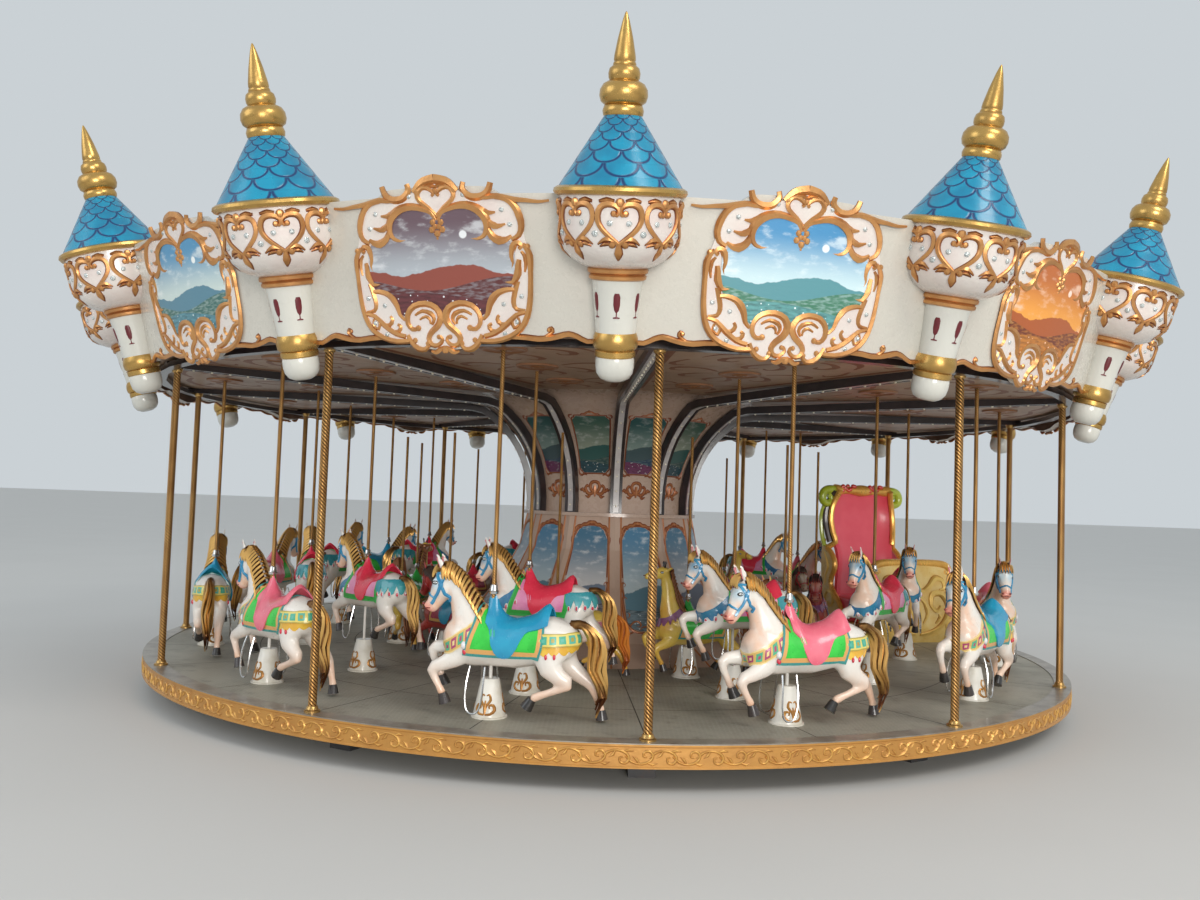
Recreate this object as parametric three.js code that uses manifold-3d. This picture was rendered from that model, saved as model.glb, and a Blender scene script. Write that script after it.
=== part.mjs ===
// A fairground carousel with towers on its rounding boards. A fixed base frame and mast carry a
// turntable: deck, centre column, ceiling, roof, boards, towers, brass poles, a chariot and three
// rows of mounts that slide up and down through their pedestals.
// Millimetres, +Z up, origin on the ground at the centre. Angles grow from the front (-Y) to +X.

import * as THREE from 'three';
import { mergeVertices } from 'three/addons/utils/BufferGeometryUtils.js';
import Module from 'manifold-3d';

const wasm = await Module();
wasm.setup();

const degrees = THREE.MathUtils.degToRad;

// Driving dimensions

const fit = 0.3;                  // gap between pieces that touch
const running = 6;                // gap between pieces that move past each other

const bayCount = 12;
const bayAngle = degrees(360 / bayCount);
const firstRib = degrees(3.7);    // the first rib stands this far to the right of the front
const towerCount = 14;
const towerAngle = degrees(360 / towerCount);

const deckTop = 289;
const deckBottom = 229;
const deckRadius = 4236;
const deckSides = 48;
const rimBottom = 150;
const rimThickness = 13;

const beamTop = 190;
const beamBottom = 70;
const beamWidth = 90;
const beamEnd = 3900;
const footSize = 170;
const footRing = 3800;
const hubRadius = 460;
const mastRadius = 110;
const mastTop = 4120;

const poleRing = 4160;            // the twisted brass poles at the deck's edge
const edgePoleRadius = 27;
const edgeStripWidth = 110;
const edgeStripThickness = 6;

const ceilingBottom = 2665;
const ceilingThickness = 15;
const ribWidth = 110;
const ribFoot = { radius: 841, height: 1572 };
const ribTop = { radius: 1363, height: 2564 };
const ribEnd = { radius: 4250, height: 2628 };
const ribDepth = 60;
const ledgeHeight = 1540;

const towerLean = degrees(16.2);  // towers and boards lean outwards by this angle
const towerFoot = { radius: 4424, height: 2374 };
const boardSetback = 40;          // the boards' face stands this far behind the towers' axes
const boardThickness = 50;
const boardSteps = 6;             // steps in the boards' outline from one tower to the next
const boardBottom = [270, 240, 160, 148, 160, 240];
const boardTop = [1050, 1050, 1105, 1150, 1105, 1050];

const roofEdge = 955;             // where the roof meets the boards, along their slope
const roofCrown = 4300;
const roofThickness = 18;

const mountPoleRadius = 15;
const mountBore = 25;             // corner radius of the square holes that guide poles and rods
const pedestalHeight = 240;
const pedestalFoot = 100;
const pedestalNeck = 55;
const rodBottom = 246;
const lift = 220;                 // stroke of the mounts
const mountPoleTop = 2720;
const mountRows = [
  { name: 'outer', radius: 3720, scale: 1, raised: 0 },
  { name: 'middle', radius: 2900, scale: 0.87, raised: lift },
  { name: 'inner', radius: 2060, scale: 0.8, raised: 0 },
];

const giraffeEvery = 4;           // each fourth mount of the inner row, from the first on
const chariotBay = 3;             // the bay whose outer and middle places hold the chariot
const chariot = { radius: 3310, halfWidth: 470, backTop: 1930 };

// Materials

const finish = (color, roughness, metalness = 0) =>
  new THREE.MeshStandardMaterial({ color, roughness, metalness, flatShading: true });

const steel = finish('#4b4d50', 0.6, 0.5);
const plate = finish('#857f76', 0.6, 0.4);
const gold = finish('#c98a2b', 0.35, 0.6);
const brass = finish('#a87b35', 0.3, 0.9);
const cream = finish('#e6ddd0', 0.35);
const panel = finish('#cdbfae', 0.6);
const dark = finish('#2b211d', 0.5);
const roofing = finish('#b9b4aa', 0.8);
const blue = finish('#2f9fc4', 0.3);
const horse = finish('#e8e0d6', 0.3);
const rose = finish('#c4344e', 0.4);

// Solids

function toSolid(geometry) {
  const bare = geometry.clone();
  for (const name of Object.keys(bare.attributes)) {
    if (name !== 'position') bare.deleteAttribute(name);
  }
  const merged = mergeVertices(bare, 1e-3);
  const place = merged.attributes.position;
  const corners = [];
  for (let i = 0; i < merged.index.count; i += 3) {
    const [a, b, c] = [0, 1, 2].map((k) => merged.index.getX(i + k));
    if (a !== b && b !== c && c !== a) corners.push([a, b, c]);
  }
  const [p, q, r] = [new THREE.Vector3(), new THREE.Vector3(), new THREE.Vector3()];
  let volume = 0;
  for (const [a, b, c] of corners) {
    p.fromBufferAttribute(place, a);
    q.fromBufferAttribute(place, b);
    r.fromBufferAttribute(place, c);
    volume += p.dot(q.cross(r));
  }
  const outward = volume > 0 ? corners : corners.map(([a, b, c]) => [a, c, b]);
  return new wasm.Manifold(new wasm.Mesh({
    numProp: 3,
    vertProperties: Float32Array.from(place.array),
    triVerts: Uint32Array.from(outward.flat()),
  }));
}

function toGeometry(solid) {
  const mesh = solid.getMesh();
  const geometry = new THREE.BufferGeometry();
  geometry.setAttribute('position', new THREE.BufferAttribute(mesh.vertProperties, 3));
  geometry.setIndex(new THREE.BufferAttribute(mesh.triVerts, 1));
  geometry.computeVertexNormals();
  return geometry;
}

const join = (geometries) => geometries.map(toSolid).reduce((all, one) => all.add(one));

// A profile of [radius, height] points turned about the Z axis, closed on itself or on the axis.
function turned(profile, sides, start = 0) {
  const points = profile.map(([radius, height]) => new THREE.Vector2(radius, height));
  if (THREE.ShapeUtils.isClockWise(points)) points.reverse();
  if (points[0].x > 0) points.push(points[0].clone());
  return new THREE.LatheGeometry(points, sides, start).rotateX(Math.PI / 2);
}

const tube = (inner, outer, bottom, top, sides, start) =>
  turned([[inner, bottom], [outer, bottom], [outer, top], [inner, top]], sides, start);

const disc = (radius, bottom, top, sides, start) =>
  turned([[0, bottom], [radius, bottom], [radius, top], [0, top]], sides, start);

const box = (width, depth, height, x, y, z) =>
  new THREE.BoxGeometry(width, depth, height).translate(x, y, z);

// A tube of elliptical sections. Each section is [x, z, half depth, half width], the first along
// the path's normal in the XZ plane and the second along Y. A bend is mitred.
function lofted(sections, sides, y = 0) {
  const geometry = new THREE.CylinderGeometry(1, 1, 1, sides, sections.length - 1);
  const place = geometry.attributes.position;
  const centres = sections.map(([x, z]) => new THREE.Vector3(x, y, z));
  for (let i = 0; i < place.count; i += 1) {
    const at = Math.round((0.5 - place.getY(i)) * (sections.length - 1));
    const before = centres[Math.max(at - 1, 0)];
    const after = centres[Math.min(at + 1, sections.length - 1)];
    const along = centres[at].clone().sub(before).normalize()
      .add(after.clone().sub(centres[at]).normalize()).normalize();
    const [, , depth, width] = sections[at];
    const point = centres[at].clone();
    point.x += -along.z * depth * place.getX(i);
    point.z += along.x * depth * place.getX(i);
    point.y += width * place.getZ(i);
    place.setXYZ(i, point.x, point.y, point.z);
  }
  return geometry;
}

// An outline of [distance outwards, height] points, extruded to a width across the front.
function upright(outline, width) {
  const shape = new THREE.Shape(outline.map(([x, y]) => new THREE.Vector2(x, y)));
  const geometry = new THREE.ExtrudeGeometry(shape, { depth: width, bevelEnabled: false });
  const outwards = new THREE.Vector3(0, -1, 0);
  const up = new THREE.Vector3(0, 0, 1);
  const across = new THREE.Vector3(-1, 0, 0);
  geometry.translate(0, 0, -width / 2);
  return geometry.applyMatrix4(new THREE.Matrix4().makeBasis(outwards, up, across));
}

// An outline of [x, z] points, extruded to a width along Y and centred on y.
function sideways(outline, width, y = 0) {
  return upright(outline, width).rotateZ(Math.PI / 2).translate(0, y, 0);
}

const atAngle = (geometry, angle) => geometry.clone().rotateZ(angle);

// Angles of the ribs, of the bays' centres and of the towers

const ribAngles = Array.from({ length: bayCount }, (_, i) => firstRib + i * bayAngle);
const bayAngles = ribAngles.map((angle) => angle + bayAngle / 2);
const towerAngles = Array.from({ length: towerCount }, (_, i) => i * towerAngle);

const places = [];
for (const row of mountRows) {
  bayAngles.forEach((angle, bay) => {
    const taken = bay === chariotBay && row.name !== 'inner';
    if (!taken) places.push({ row, angle, bay });
  });
}

// Fixed base: hub, radial beams on feet, and the mast

function baseFrame() {
  const parts = [
    disc(hubRadius, 0, deckBottom - running, bayCount, firstRib),
    disc(mastRadius, deckBottom - running - 1, mastTop, 8),
  ];
  const beam = box(beamWidth, beamEnd, beamTop - beamBottom, 0, -beamEnd / 2,
    (beamTop + beamBottom) / 2);
  const foot = box(footSize, footSize, beamBottom + 1, 0, -footRing, (beamBottom + 1) / 2);
  for (const angle of ribAngles) {
    parts.push(atAngle(beam, angle), atAngle(foot, angle));
  }
  return toGeometry(join(parts));
}

// Deck with the mounts' pedestals and the blind bores that guide their rods

function deck() {
  const pedestal = turned([
    [0, deckTop - 1], [pedestalFoot, deckTop - 1], [pedestalNeck, deckTop + pedestalHeight],
    [0, deckTop + pedestalHeight],
  ], 5);
  const bore = disc(mountBore, rodBottom - running, deckTop + pedestalHeight + 1, 4);
  const setOut = (geometry) => places.map(({ row, angle }) =>
    geometry.clone().translate(0, -row.radius, 0).rotateZ(angle));
  const solid = join([disc(deckRadius, deckBottom, deckTop, deckSides), ...setOut(pedestal)]);
  const mastHole = disc(mastRadius + 2 * running, 0, deckTop + 1, bayCount);
  const bores = join([mastHole, ...setOut(bore)]);
  return toGeometry(solid.subtract(bores));
}

const rimBand = () =>
  tube(deckRadius + fit, deckRadius + fit + rimThickness, rimBottom, deckTop, deckSides);

// Brass poles round the deck's edge, standing on one edge strip

function edgePoles() {
  const stripBottom = deckTop + fit;
  const poleTop = ribEnd.height - 3;
  const pole = disc(edgePoleRadius, stripBottom, poleTop, 8).translate(0, -poleRing, 0);
  const strip = tube(poleRing - edgeStripWidth / 2, poleRing + edgeStripWidth / 2, stripBottom,
    stripBottom + edgeStripThickness, 2 * bayCount, firstRib);
  return toGeometry(join([strip, ...ribAngles.map((angle) => atAngle(pole, angle))]));
}

// Centre column: a flared skirt below the ledge and a cove above it, both with a side per bay

const coveSteps = 6;

const skirtLine = [[841, ledgeHeight], [905, 1230], [1080, 900], [1440, 450], [1740, deckTop + fit]];

function shell(line, thickness) {
  const inside = line.map(([radius, height]) => [radius - thickness, height]).reverse();
  return turned([...line, ...inside], bayCount, firstRib);
}

const columnSkirt = () => shell(skirtLine, 25);

function coveLine(offset, steps) {
  const curve = new THREE.CubicBezierCurve(
    new THREE.Vector2(ribFoot.radius, ribFoot.height),
    new THREE.Vector2(ribFoot.radius - 25, ribFoot.height + 480),
    new THREE.Vector2(ribTop.radius - 330, ribTop.height - 190),
    new THREE.Vector2(ribTop.radius, ribTop.height),
  );
  return curve.getPoints(steps).map((point, i) => {
    const slope = curve.getTangent(i / steps);
    return [point.x - slope.y * offset, point.y + slope.x * offset];
  });
}

function columnCove() {
  const line = coveLine(ribDepth + 8, coveSteps);
  line[0][1] = ribFoot.height;
  const last = line.at(-1);
  line.push([last[0] + 60, ceilingBottom - fit]);
  return shell(line, 20);
}

// Twelve arched ribs, held by the ledge ring at their feet and the eave ring at their ends

function sweepFrame() {
  const ribTopFace = ceilingBottom - fit;
  const back = coveLine(ribDepth, coveSteps).filter(([, height]) => height < ribTopFace - 10).reverse();
  const footing = ledgeHeight + 10;
  const outline = [
    [ribFoot.radius, footing],
    ...coveLine(0, coveSteps),
    [ribEnd.radius, ribEnd.height],
    [ribEnd.radius, ribTopFace],
    [ribTop.radius + 60, ribTopFace],
    ...back,
    [ribFoot.radius - ribDepth, footing],
  ];
  const rib = upright(outline, ribWidth);
  const ledge = tube(ribFoot.radius - ribDepth - 60, ribFoot.radius + 30, ledgeHeight + fit,
    ribFoot.height - fit, bayCount, firstRib);
  const eave = tube(ribEnd.radius - 60, ribEnd.radius + 20, ribEnd.height - 20, ribTopFace,
    2 * bayCount, firstRib);
  return toGeometry(join([ledge, eave, ...ribAngles.map((angle) => atAngle(rib, angle))]));
}

// Ceiling with a hole for each mount's pole

function ceiling() {
  const outerRadius = boardFace(ceilingBottom) - boardThickness - 30;
  const corners = (radius, sides, turn = 0) => Array.from({ length: sides }, (_, i) => {
    const angle = turn + (i / sides) * 2 * Math.PI;
    return new THREE.Vector2(radius * Math.sin(angle), -radius * Math.cos(angle));
  });
  const shape = new THREE.Shape(corners(outerRadius, 3 * towerCount));
  shape.holes.push(new THREE.Path(corners(ribTop.radius + 95, bayCount, firstRib).reverse()));
  for (const { row, angle } of places) {
    const centre = new THREE.Vector2(row.radius * Math.sin(angle), -row.radius * Math.cos(angle));
    const hole = corners(mountBore, 4).map((corner) => corner.add(centre));
    shape.holes.push(new THREE.Path(hole.reverse()));
  }
  return new THREE.ExtrudeGeometry(shape, { depth: ceilingThickness, bevelEnabled: false })
    .translate(0, 0, ceilingBottom);
}

// Rounding boards: one leaning ring whose bottom edge dips and whose top edge rises in each bay

function boardFace(height) {
  const along = (height - towerFoot.height) / Math.cos(towerLean);
  return towerFoot.radius + along * Math.sin(towerLean) - boardSetback / Math.cos(towerLean);
}

const boardHeight = (along) => towerFoot.height + along * Math.cos(towerLean);

function roundingBoards() {
  const steps = towerCount * boardSteps;
  const geometry = new THREE.TorusGeometry(2, 1, 4, steps);
  const place = geometry.attributes.position;
  const ring = steps + 1;
  for (let i = 0; i < place.count; i += 1) {
    const step = i % ring;
    const corner = Math.floor(i / ring) % 4;
    const angle = (step / steps) * 2 * Math.PI;
    const atTop = corner === 1 || corner === 2;
    const edge = atTop ? boardTop : boardBottom;
    const height = boardHeight(edge[step % boardSteps]);
    const radius = boardFace(height) - (corner >= 2 ? boardThickness : 0);
    place.setXYZ(i, radius * Math.sin(angle), -radius * Math.cos(angle), height);
  }
  return geometry;
}

// A tower's turned profile as [radius, distance along its axis] from its bottom ball to its tip

const towerProfile = [
  [0, 0], [104, 62], [124, 283], [142, 570], [170, 648], [334, 712],
  [334, 1022], [368, 1072], [101, 1448], [129, 1560], [62, 1705], [0, 1968],
];

// The part of a tower behind the boards' face is cut away, from their bottom edge to their top.
function tower() {
  const whole = turned(towerProfile, 8, Math.PI / 8)
    .rotateX(towerLean).translate(0, -towerFoot.radius, towerFoot.height);
  const bottom = boardHeight(boardBottom[0]) - 12;
  const top = boardHeight(boardTop[0]) + 12;
  const behind = turned([
    [0, bottom], [boardFace(bottom) + fit, bottom], [boardFace(top) + fit, top], [0, top],
  ], towerCount * boardSteps);
  return toGeometry(toSolid(whole).subtract(toSolid(behind)));
}

// Shallow roof inside the boards, with a sleeve round the head of the mast

function roof() {
  const edgeHeight = boardHeight(roofEdge);
  const edgeRadius = boardFace(edgeHeight) - boardThickness - 30;
  const sleeve = mastRadius + running;
  const sleeveBottom = mastTop - 220;
  const slope = (roofCrown - edgeHeight) / edgeRadius;
  const under = (radius) => roofCrown - slope * radius - roofThickness;
  return turned([
    [0, under(0)], [sleeve, under(sleeve)], [sleeve, sleeveBottom], [sleeve + 40, sleeveBottom],
    [sleeve + 40, under(sleeve + 40)], [edgeRadius, edgeHeight - roofThickness],
    [edgeRadius, edgeHeight], [0, roofCrown],
  ], 2 * towerCount);
}

// A horse or a giraffe on its pole. It heads towards -X with the pole at x = 0. Sections hold
// [distance ahead of the pole, height, half depth, half width].

const trunk = [[-560, 790, 95, 90], [-380, 795, 160, 150], [30, 745, 170, 148]];
const horseNeck = [[225, 850, 150, 100], [325, 1175, 92, 56], [452, 965, 50, 44]];
const giraffeNeck = [[225, 855, 150, 100], [205, 1060, 90, 64], [250, 1330, 66, 46],
  [350, 1322, 54, 40], [462, 1290, 36, 32]];
const tail = [[-480, 830, 50, 45], [-690, 760, 62, 48], [-725, 400, 26, 24]];
const nearForeleg = [[185, 715, 62, 52], [375, 600, 44, 38], [278, 375, 30, 34]];
const offForeleg = [[195, 735, 62, 52], [430, 690, 44, 38], [345, 500, 30, 34]];
const nearHindleg = [[-390, 690, 92, 60], [-540, 545, 46, 38], [-275, 385, 30, 34]];
const offHindleg = [[-400, 690, 92, 60], [-620, 560, 46, 38], [-720, 345, 30, 34]];
const saddleOutline = [[26, 1085], [-22, 1085], [-75, 945], [-270, 945], [-385, 1006], [-300, 850],
  [-20, 850]];
const saddleWidth = 220;
const legSpread = 78;
const coarse = 5;                 // joined faces that bend less than this are merged

function mount({ scale, raised }, neck) {
  const level = (height) => deckTop + (height - deckTop) * scale + raised;
  const sized = (sections) => sections.map(([ahead, height, depth, width]) =>
    [-ahead * scale, level(height), depth * scale, width * scale]);
  const limb = (sections, side) => lofted(sized(sections), 3, side * legSpread * scale);
  const seat = saddleOutline.map(([ahead, height]) => [-ahead * scale, level(height)]);
  const solids = join([
    lofted(sized([...trunk, ...neck]), 6),
    lofted(sized(tail), 3),
    limb(nearForeleg, -1),
    limb(offForeleg, 1),
    limb(nearHindleg, -1),
    limb(offHindleg, 1),
    sideways(seat, saddleWidth * scale),
    disc(mountPoleRadius, rodBottom + raised, mountPoleTop + raised, 4),
  ]);
  return toGeometry(solids.simplify(coarse));
}

// Chariot: two benches that face each other on a plinth, the rear one with a tall curved back. Both
// have short side wings, and each side is open between them. It heads towards -X.

function chariotBody() {
  const { halfWidth, backTop } = chariot;
  const floorBottom = deckTop + fit;
  const floorTop = 430;
  const rearSeat = 700;
  const frontSeat = 640;
  const width = 2 * halfWidth - 40;
  const back = [[470, floorTop - 20], [520, 1080], [615, 1480], [630, 1660], [565, backTop - 25],
    [630, backTop + 15], [715, 1700], [700, 1460], [610, 1050], [560, floorTop - 20]];
  const rearWing = [[230, floorBottom], [620, floorBottom], [640, 1100], [590, 1260], [520, 1240],
    [400, 1080], [390, 1000], [460, 880], [450, 800], [320, 660], [230, 560]];
  const front = [[-500, floorBottom], [-575, 420], [-580, 600], [-500, 850], [-435, 1050],
    [-430, 1135], [-345, 1135], [-360, 1020], [-430, 800], [-470, 620], [-440, floorBottom]];
  const frontWing = [[-500, floorBottom], [-170, floorBottom], [-170, 540], [-260, 640],
    [-340, 720], [-375, 860], [-355, 1000], [-400, 1100], [-480, 900], [-560, 620], [-555, 420]];
  const wingThickness = 50;
  const wings = [-1, 1].flatMap((side) => [rearWing, frontWing].map((outline) =>
    sideways(outline, wingThickness, side * (halfWidth - wingThickness / 2))));
  return toGeometry(join([
    box(1000, width, floorTop - floorBottom, 30, 0, (floorTop + floorBottom) / 2),
    box(430, width, rearSeat - floorTop + 20, 290, 0, (rearSeat + floorTop - 20) / 2),
    box(310, width, frontSeat - floorTop + 20, -325, 0, (frontSeat + floorTop - 20) / 2),
    sideways(back, width),
    sideways(front, width),
    ...wings,
  ]));
}

// Assembly

const group = new THREE.Group();
group.name = 'carousel';
const fixed = new THREE.Group();
const turntable = new THREE.Group();
group.add(fixed, turntable);

function place(parent, name, geometry, material, angle = 0, radius = 0) {
  const mesh = new THREE.Mesh(geometry, material);
  mesh.name = name;
  mesh.position.set(0, -radius, 0);
  const arm = new THREE.Group();
  arm.rotation.z = angle;
  arm.add(mesh);
  parent.add(arm);
}

const numbered = (name, i) => `${name}_${String(i + 1).padStart(2, '0')}`;

place(fixed, 'base_frame', baseFrame(), steel);
place(turntable, 'deck', deck(), plate);
place(turntable, 'rim_band', rimBand(), gold);
place(turntable, 'edge_poles', edgePoles(), brass);
place(turntable, 'column_skirt', columnSkirt(), cream);
place(turntable, 'column_cove', columnCove(), panel);
place(turntable, 'sweep_frame', sweepFrame(), dark);
place(turntable, 'ceiling', ceiling(), panel);
place(turntable, 'roof', roof(), roofing);
place(turntable, 'rounding_boards', roundingBoards(), cream);

const towerGeometry = tower();
towerAngles.forEach((angle, i) => place(turntable, numbered('tower', i), towerGeometry, blue, angle));

place(turntable, 'chariot', chariotBody(), rose, bayAngles[chariotBay], chariot.radius);

for (const row of mountRows) {
  const horseOf = mount(row, horseNeck);
  const giraffeOf = mount(row, giraffeNeck);
  for (const { angle, bay } of places.filter((spot) => spot.row === row)) {
    const geometry = row.name === 'inner' && bay % giraffeEvery === 0 ? giraffeOf : horseOf;
    place(turntable, numbered(`${row.name}_mount`, bay), geometry, horse, angle, row.radius);
  }
}

export default group;
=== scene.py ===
"""The looks of a fairground carousel with a ring of towers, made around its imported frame.

Metres, +Z up, with the front at -Y. Angles grow from the front to the right. A piece is modelled at
its own origin, keeps that place in the vector attribute "own" for its patterns, and is then placed.
"""

import math

import bmesh
import bpy
from mathutils import Matrix, Vector
from mathutils.bvhtree import BVHTree


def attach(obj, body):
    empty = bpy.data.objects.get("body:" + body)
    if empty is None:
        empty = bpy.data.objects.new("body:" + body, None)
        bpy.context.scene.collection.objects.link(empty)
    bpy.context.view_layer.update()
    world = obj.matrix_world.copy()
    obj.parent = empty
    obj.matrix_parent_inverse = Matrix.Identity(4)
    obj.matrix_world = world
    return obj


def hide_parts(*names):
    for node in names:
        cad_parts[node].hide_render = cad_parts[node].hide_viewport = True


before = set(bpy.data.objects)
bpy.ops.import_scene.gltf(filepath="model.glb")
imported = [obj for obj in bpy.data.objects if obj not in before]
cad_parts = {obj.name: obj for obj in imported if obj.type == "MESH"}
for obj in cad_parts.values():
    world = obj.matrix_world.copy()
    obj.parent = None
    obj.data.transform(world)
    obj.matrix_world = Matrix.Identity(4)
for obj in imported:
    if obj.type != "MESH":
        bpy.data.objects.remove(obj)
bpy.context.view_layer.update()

# Driving dimensions

BAYS = 12
BAY_ANGLE = math.tau / BAYS
FIRST_RIB = math.radians(3.7)
RIB_TURNS = [Matrix.Rotation(FIRST_RIB + i * BAY_ANGLE, 4, "Z") for i in range(BAYS)]
BAY_TURNS = [Matrix.Rotation(FIRST_RIB + (i + 0.5) * BAY_ANGLE, 4, "Z") for i in range(BAYS)]
TOWERS = 14
TOWER_ANGLE = math.tau / TOWERS

LEAN = math.radians(16.2)              # towers and boards lean outwards
FOOT_RADIUS, FOOT_HEIGHT = 4.424, 2.374    # lowest point of a tower
BOARD_SETBACK = 0.04                   # from a tower's axis back to the boards' face
BOARD_THICKNESS = 0.05
BOARD_MIDDLE = 0.65                    # halfway up the boards, where distances across them are true

DECK_TOP = 0.289
LIFT = 0.22

ACROSS = Vector((1, 0, 0))

# Mesh helpers. A part is a bmesh, and a piece is made of parts that are stamped into one mesh.

OWN = "own"
# EDGE holds how deep a vertex lies in the hollows; the gold and hair paints turn it into painted shade
EDGE = "edge"
LAID = "laid"


def mix(a, b, t):
    return a + (b - a) * t


def track(points, x):
    """The height at x of a line through points, sorted by x."""
    for (x0, y0), (x1, y1) in zip(points, points[1:]):
        if x <= x1:
            return mix(y0, y1, max(0.0, (x - x0) / (x1 - x0)))
    return points[-1][1]


def curve(points, steps):
    """Points on a smooth curve through the given ones, a few for each stretch."""
    knots = [Vector(point) for point in points]
    knots = [2 * knots[0] - knots[1], *knots, 2 * knots[-1] - knots[-2]]
    line = []
    for a, b, c, d in zip(knots, knots[1:], knots[2:], knots[3:]):
        for i in range(steps):
            t = i / steps
            line.append(((2 * b) + (c - a) * t + (2 * a - 5 * b + 4 * c - d) * t ** 2
                         + (3 * b - a - 3 * c + d) * t ** 3) / 2)
    return [*line, knots[-2]]


def turned(profile, sides, closed):
    """A line of (radius, height) points, closed to a loop or open, turned about Z."""
    part = bmesh.new()
    verts = [part.verts.new((radius, 0, height)) for radius, height in profile]
    ends = [*verts[1:], verts[0]] if closed else verts[1:]
    edges = [part.edges.new(pair) for pair in zip(verts, ends)]
    bmesh.ops.spin(part, geom=verts + edges, axis=(0, 0, 1), angle=math.tau, steps=sides, use_merge=True)
    return part


def lathe(profile, sides=32):
    """Points of (radius, height) turned about Z into a closed solid."""
    part = turned([(0, profile[0][1]), *profile, (0, profile[-1][1])], sides, closed=False)
    bmesh.ops.remove_doubles(part, verts=part.verts, dist=1e-5)
    bmesh.ops.recalc_face_normals(part, faces=part.faces)
    return part


def hoop(profile, sides=32):
    """A closed loop of (radius, height) points turned about Z."""
    part = turned(profile, sides, closed=True)
    bmesh.ops.recalc_face_normals(part, faces=part.faces)
    return part


def grid(columns, rows):
    """A flat grid from -1 to 1 in x and y."""
    part = bmesh.new()
    bmesh.ops.create_grid(part, x_segments=columns, y_segments=rows, size=1)
    return part


def moved(part, x, y, z):
    bmesh.ops.translate(part, vec=(x, y, z), verts=part.verts)
    return part


def only(kind, items):
    """The items of one kind, such as the vertices among what an operator made."""
    return [item for item in items if isinstance(item, kind)]


def plated(part, thickness):
    """A sheet with its faces turned one way and given a thickness."""
    bmesh.ops.recalc_face_normals(part, faces=part.faces)
    bmesh.ops.solidify(part, geom=part.faces[:], thickness=thickness)
    return part


def round_axis(angle, reach, height):
    """The place at a distance from the axis, at an angle from the front to the right."""
    return Vector((reach * math.sin(angle), -reach * math.cos(angle), height))


def box(low, high, edge=0.0, segments=2):
    """A block between two corners, with its edges rounded."""
    low, high = Vector(low), Vector(high)
    part = bmesh.new()
    size = Matrix.Diagonal((*(high - low), 1))
    bmesh.ops.create_cube(part, size=1, matrix=Matrix.Translation((low + high) / 2) @ size)
    if edge:
        bmesh.ops.bevel(part, geom=part.edges[:], offset=edge, segments=segments, profile=0.5,
                        affect="EDGES", material=-1)
    return part


def ring_places(points, widths, depths, side):
    """The place of each cross section of a bar, with `side` as the direction of its width."""
    places = []
    last = len(points) - 1
    for i, point in enumerate(points):
        forward = (points[min(i + 1, last)] - points[max(i - 1, 0)]).normalized()
        across = (side - forward * side.dot(forward)).normalized()
        aim = Matrix((across, forward.cross(across), forward)).transposed().to_4x4()
        size = Matrix.Diagonal((widths[i], depths[i], 1, 1))
        places.append(Matrix.Translation(point) @ aim @ size)
    return places


def bar(points, widths, depths=None, sides=8, side=Vector((0, 1, 0))):
    """An elliptical bar along points. `widths` are its half widths, in the direction of `side`."""
    points = [Vector(point) for point in points]
    depths = depths or widths
    places = ring_places(points, widths, depths, side)
    part = bmesh.new()
    ring = bmesh.ops.create_circle(part, cap_ends=True, radius=1, segments=sides,
                                   matrix=places[0])["verts"]
    edges = list({edge for vert in ring for edge in vert.link_edges})
    for before, after in zip(places, places[1:]):
        grown = bmesh.ops.extrude_edge_only(part, edges=edges)["geom"]
        ring, edges = only(bmesh.types.BMVert, grown), only(bmesh.types.BMEdge, grown)
        bmesh.ops.transform(part, matrix=after @ before.inverted(), verts=ring)
    bmesh.ops.contextual_create(part, geom=edges)
    bmesh.ops.recalc_face_normals(part, faces=part.faces)
    return part


def taper(count, root, middle, tip):
    """Radii along a bar, from its root over its middle to its tip."""
    radii = []
    for i in range(count):
        t = i / (count - 1)
        radii.append(mix(root, middle, 2 * t) if t < 0.5 else mix(middle, tip, 2 * t - 1))
    return radii


def raised(part, vec):
    """Turns a sheet into a closed plate by extruding all of it along vec."""
    grown = bmesh.ops.extrude_face_region(part, geom=part.faces[:])["geom"]
    bmesh.ops.translate(part, vec=vec, verts=only(bmesh.types.BMVert, grown))
    bmesh.ops.recalc_face_normals(part, faces=part.faces)
    return part


def ball(centre, radii, segments=8, rings=5):
    part = bmesh.new()
    place = Matrix.Translation(centre) @ Matrix.Diagonal((*radii, 1))
    bmesh.ops.create_uvsphere(part, u_segments=segments, v_segments=rings, radius=1, matrix=place)
    return part


def mesh_of(part):
    mesh = bpy.data.meshes.new("part")
    part.to_mesh(mesh)
    part.free()
    return mesh


def mirrored(part):
    """The part with its mirror image in X added."""
    twin = part.copy()
    bmesh.ops.scale(twin, vec=(-1, 1, 1), verts=twin.verts)
    bmesh.ops.reverse_faces(twin, faces=twin.faces)
    mesh = mesh_of(twin)
    part.from_mesh(mesh)
    bpy.data.meshes.remove(mesh)
    return part


def flipped(part):
    """The mirror image in Y of a part."""
    twin = part.copy()
    bmesh.ops.scale(twin, vec=(1, -1, 1), verts=twin.verts)
    bmesh.ops.reverse_faces(twin, faces=twin.faces)
    return twin


def merge(shape, part):
    """Adds one bmesh to another."""
    mesh = mesh_of(part)
    shape.from_mesh(mesh)
    bpy.data.meshes.remove(mesh)


# Flat carvings: x across, z up, and -y as the height off the ground that they stand on

CARVING = 0.012                        # the painted shade on a carving fades out at this height off its ground
STOUT = 0.0132                         # a carving that stands higher than this has a fifth side


def carved(shape, points, radii, flat=0.8, steps=2):
    """Adds a tapered bar along a curve through points of (x, z). `flat` is its depth for its width."""
    line = curve([(x, 0, z) for x, z in points], steps)
    widths = taper(len(line), *radii)
    sides = 5 if flat * max(radii) > STOUT else 4
    merge(shape, bar(line, [flat * width for width in widths], widths, sides))


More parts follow.
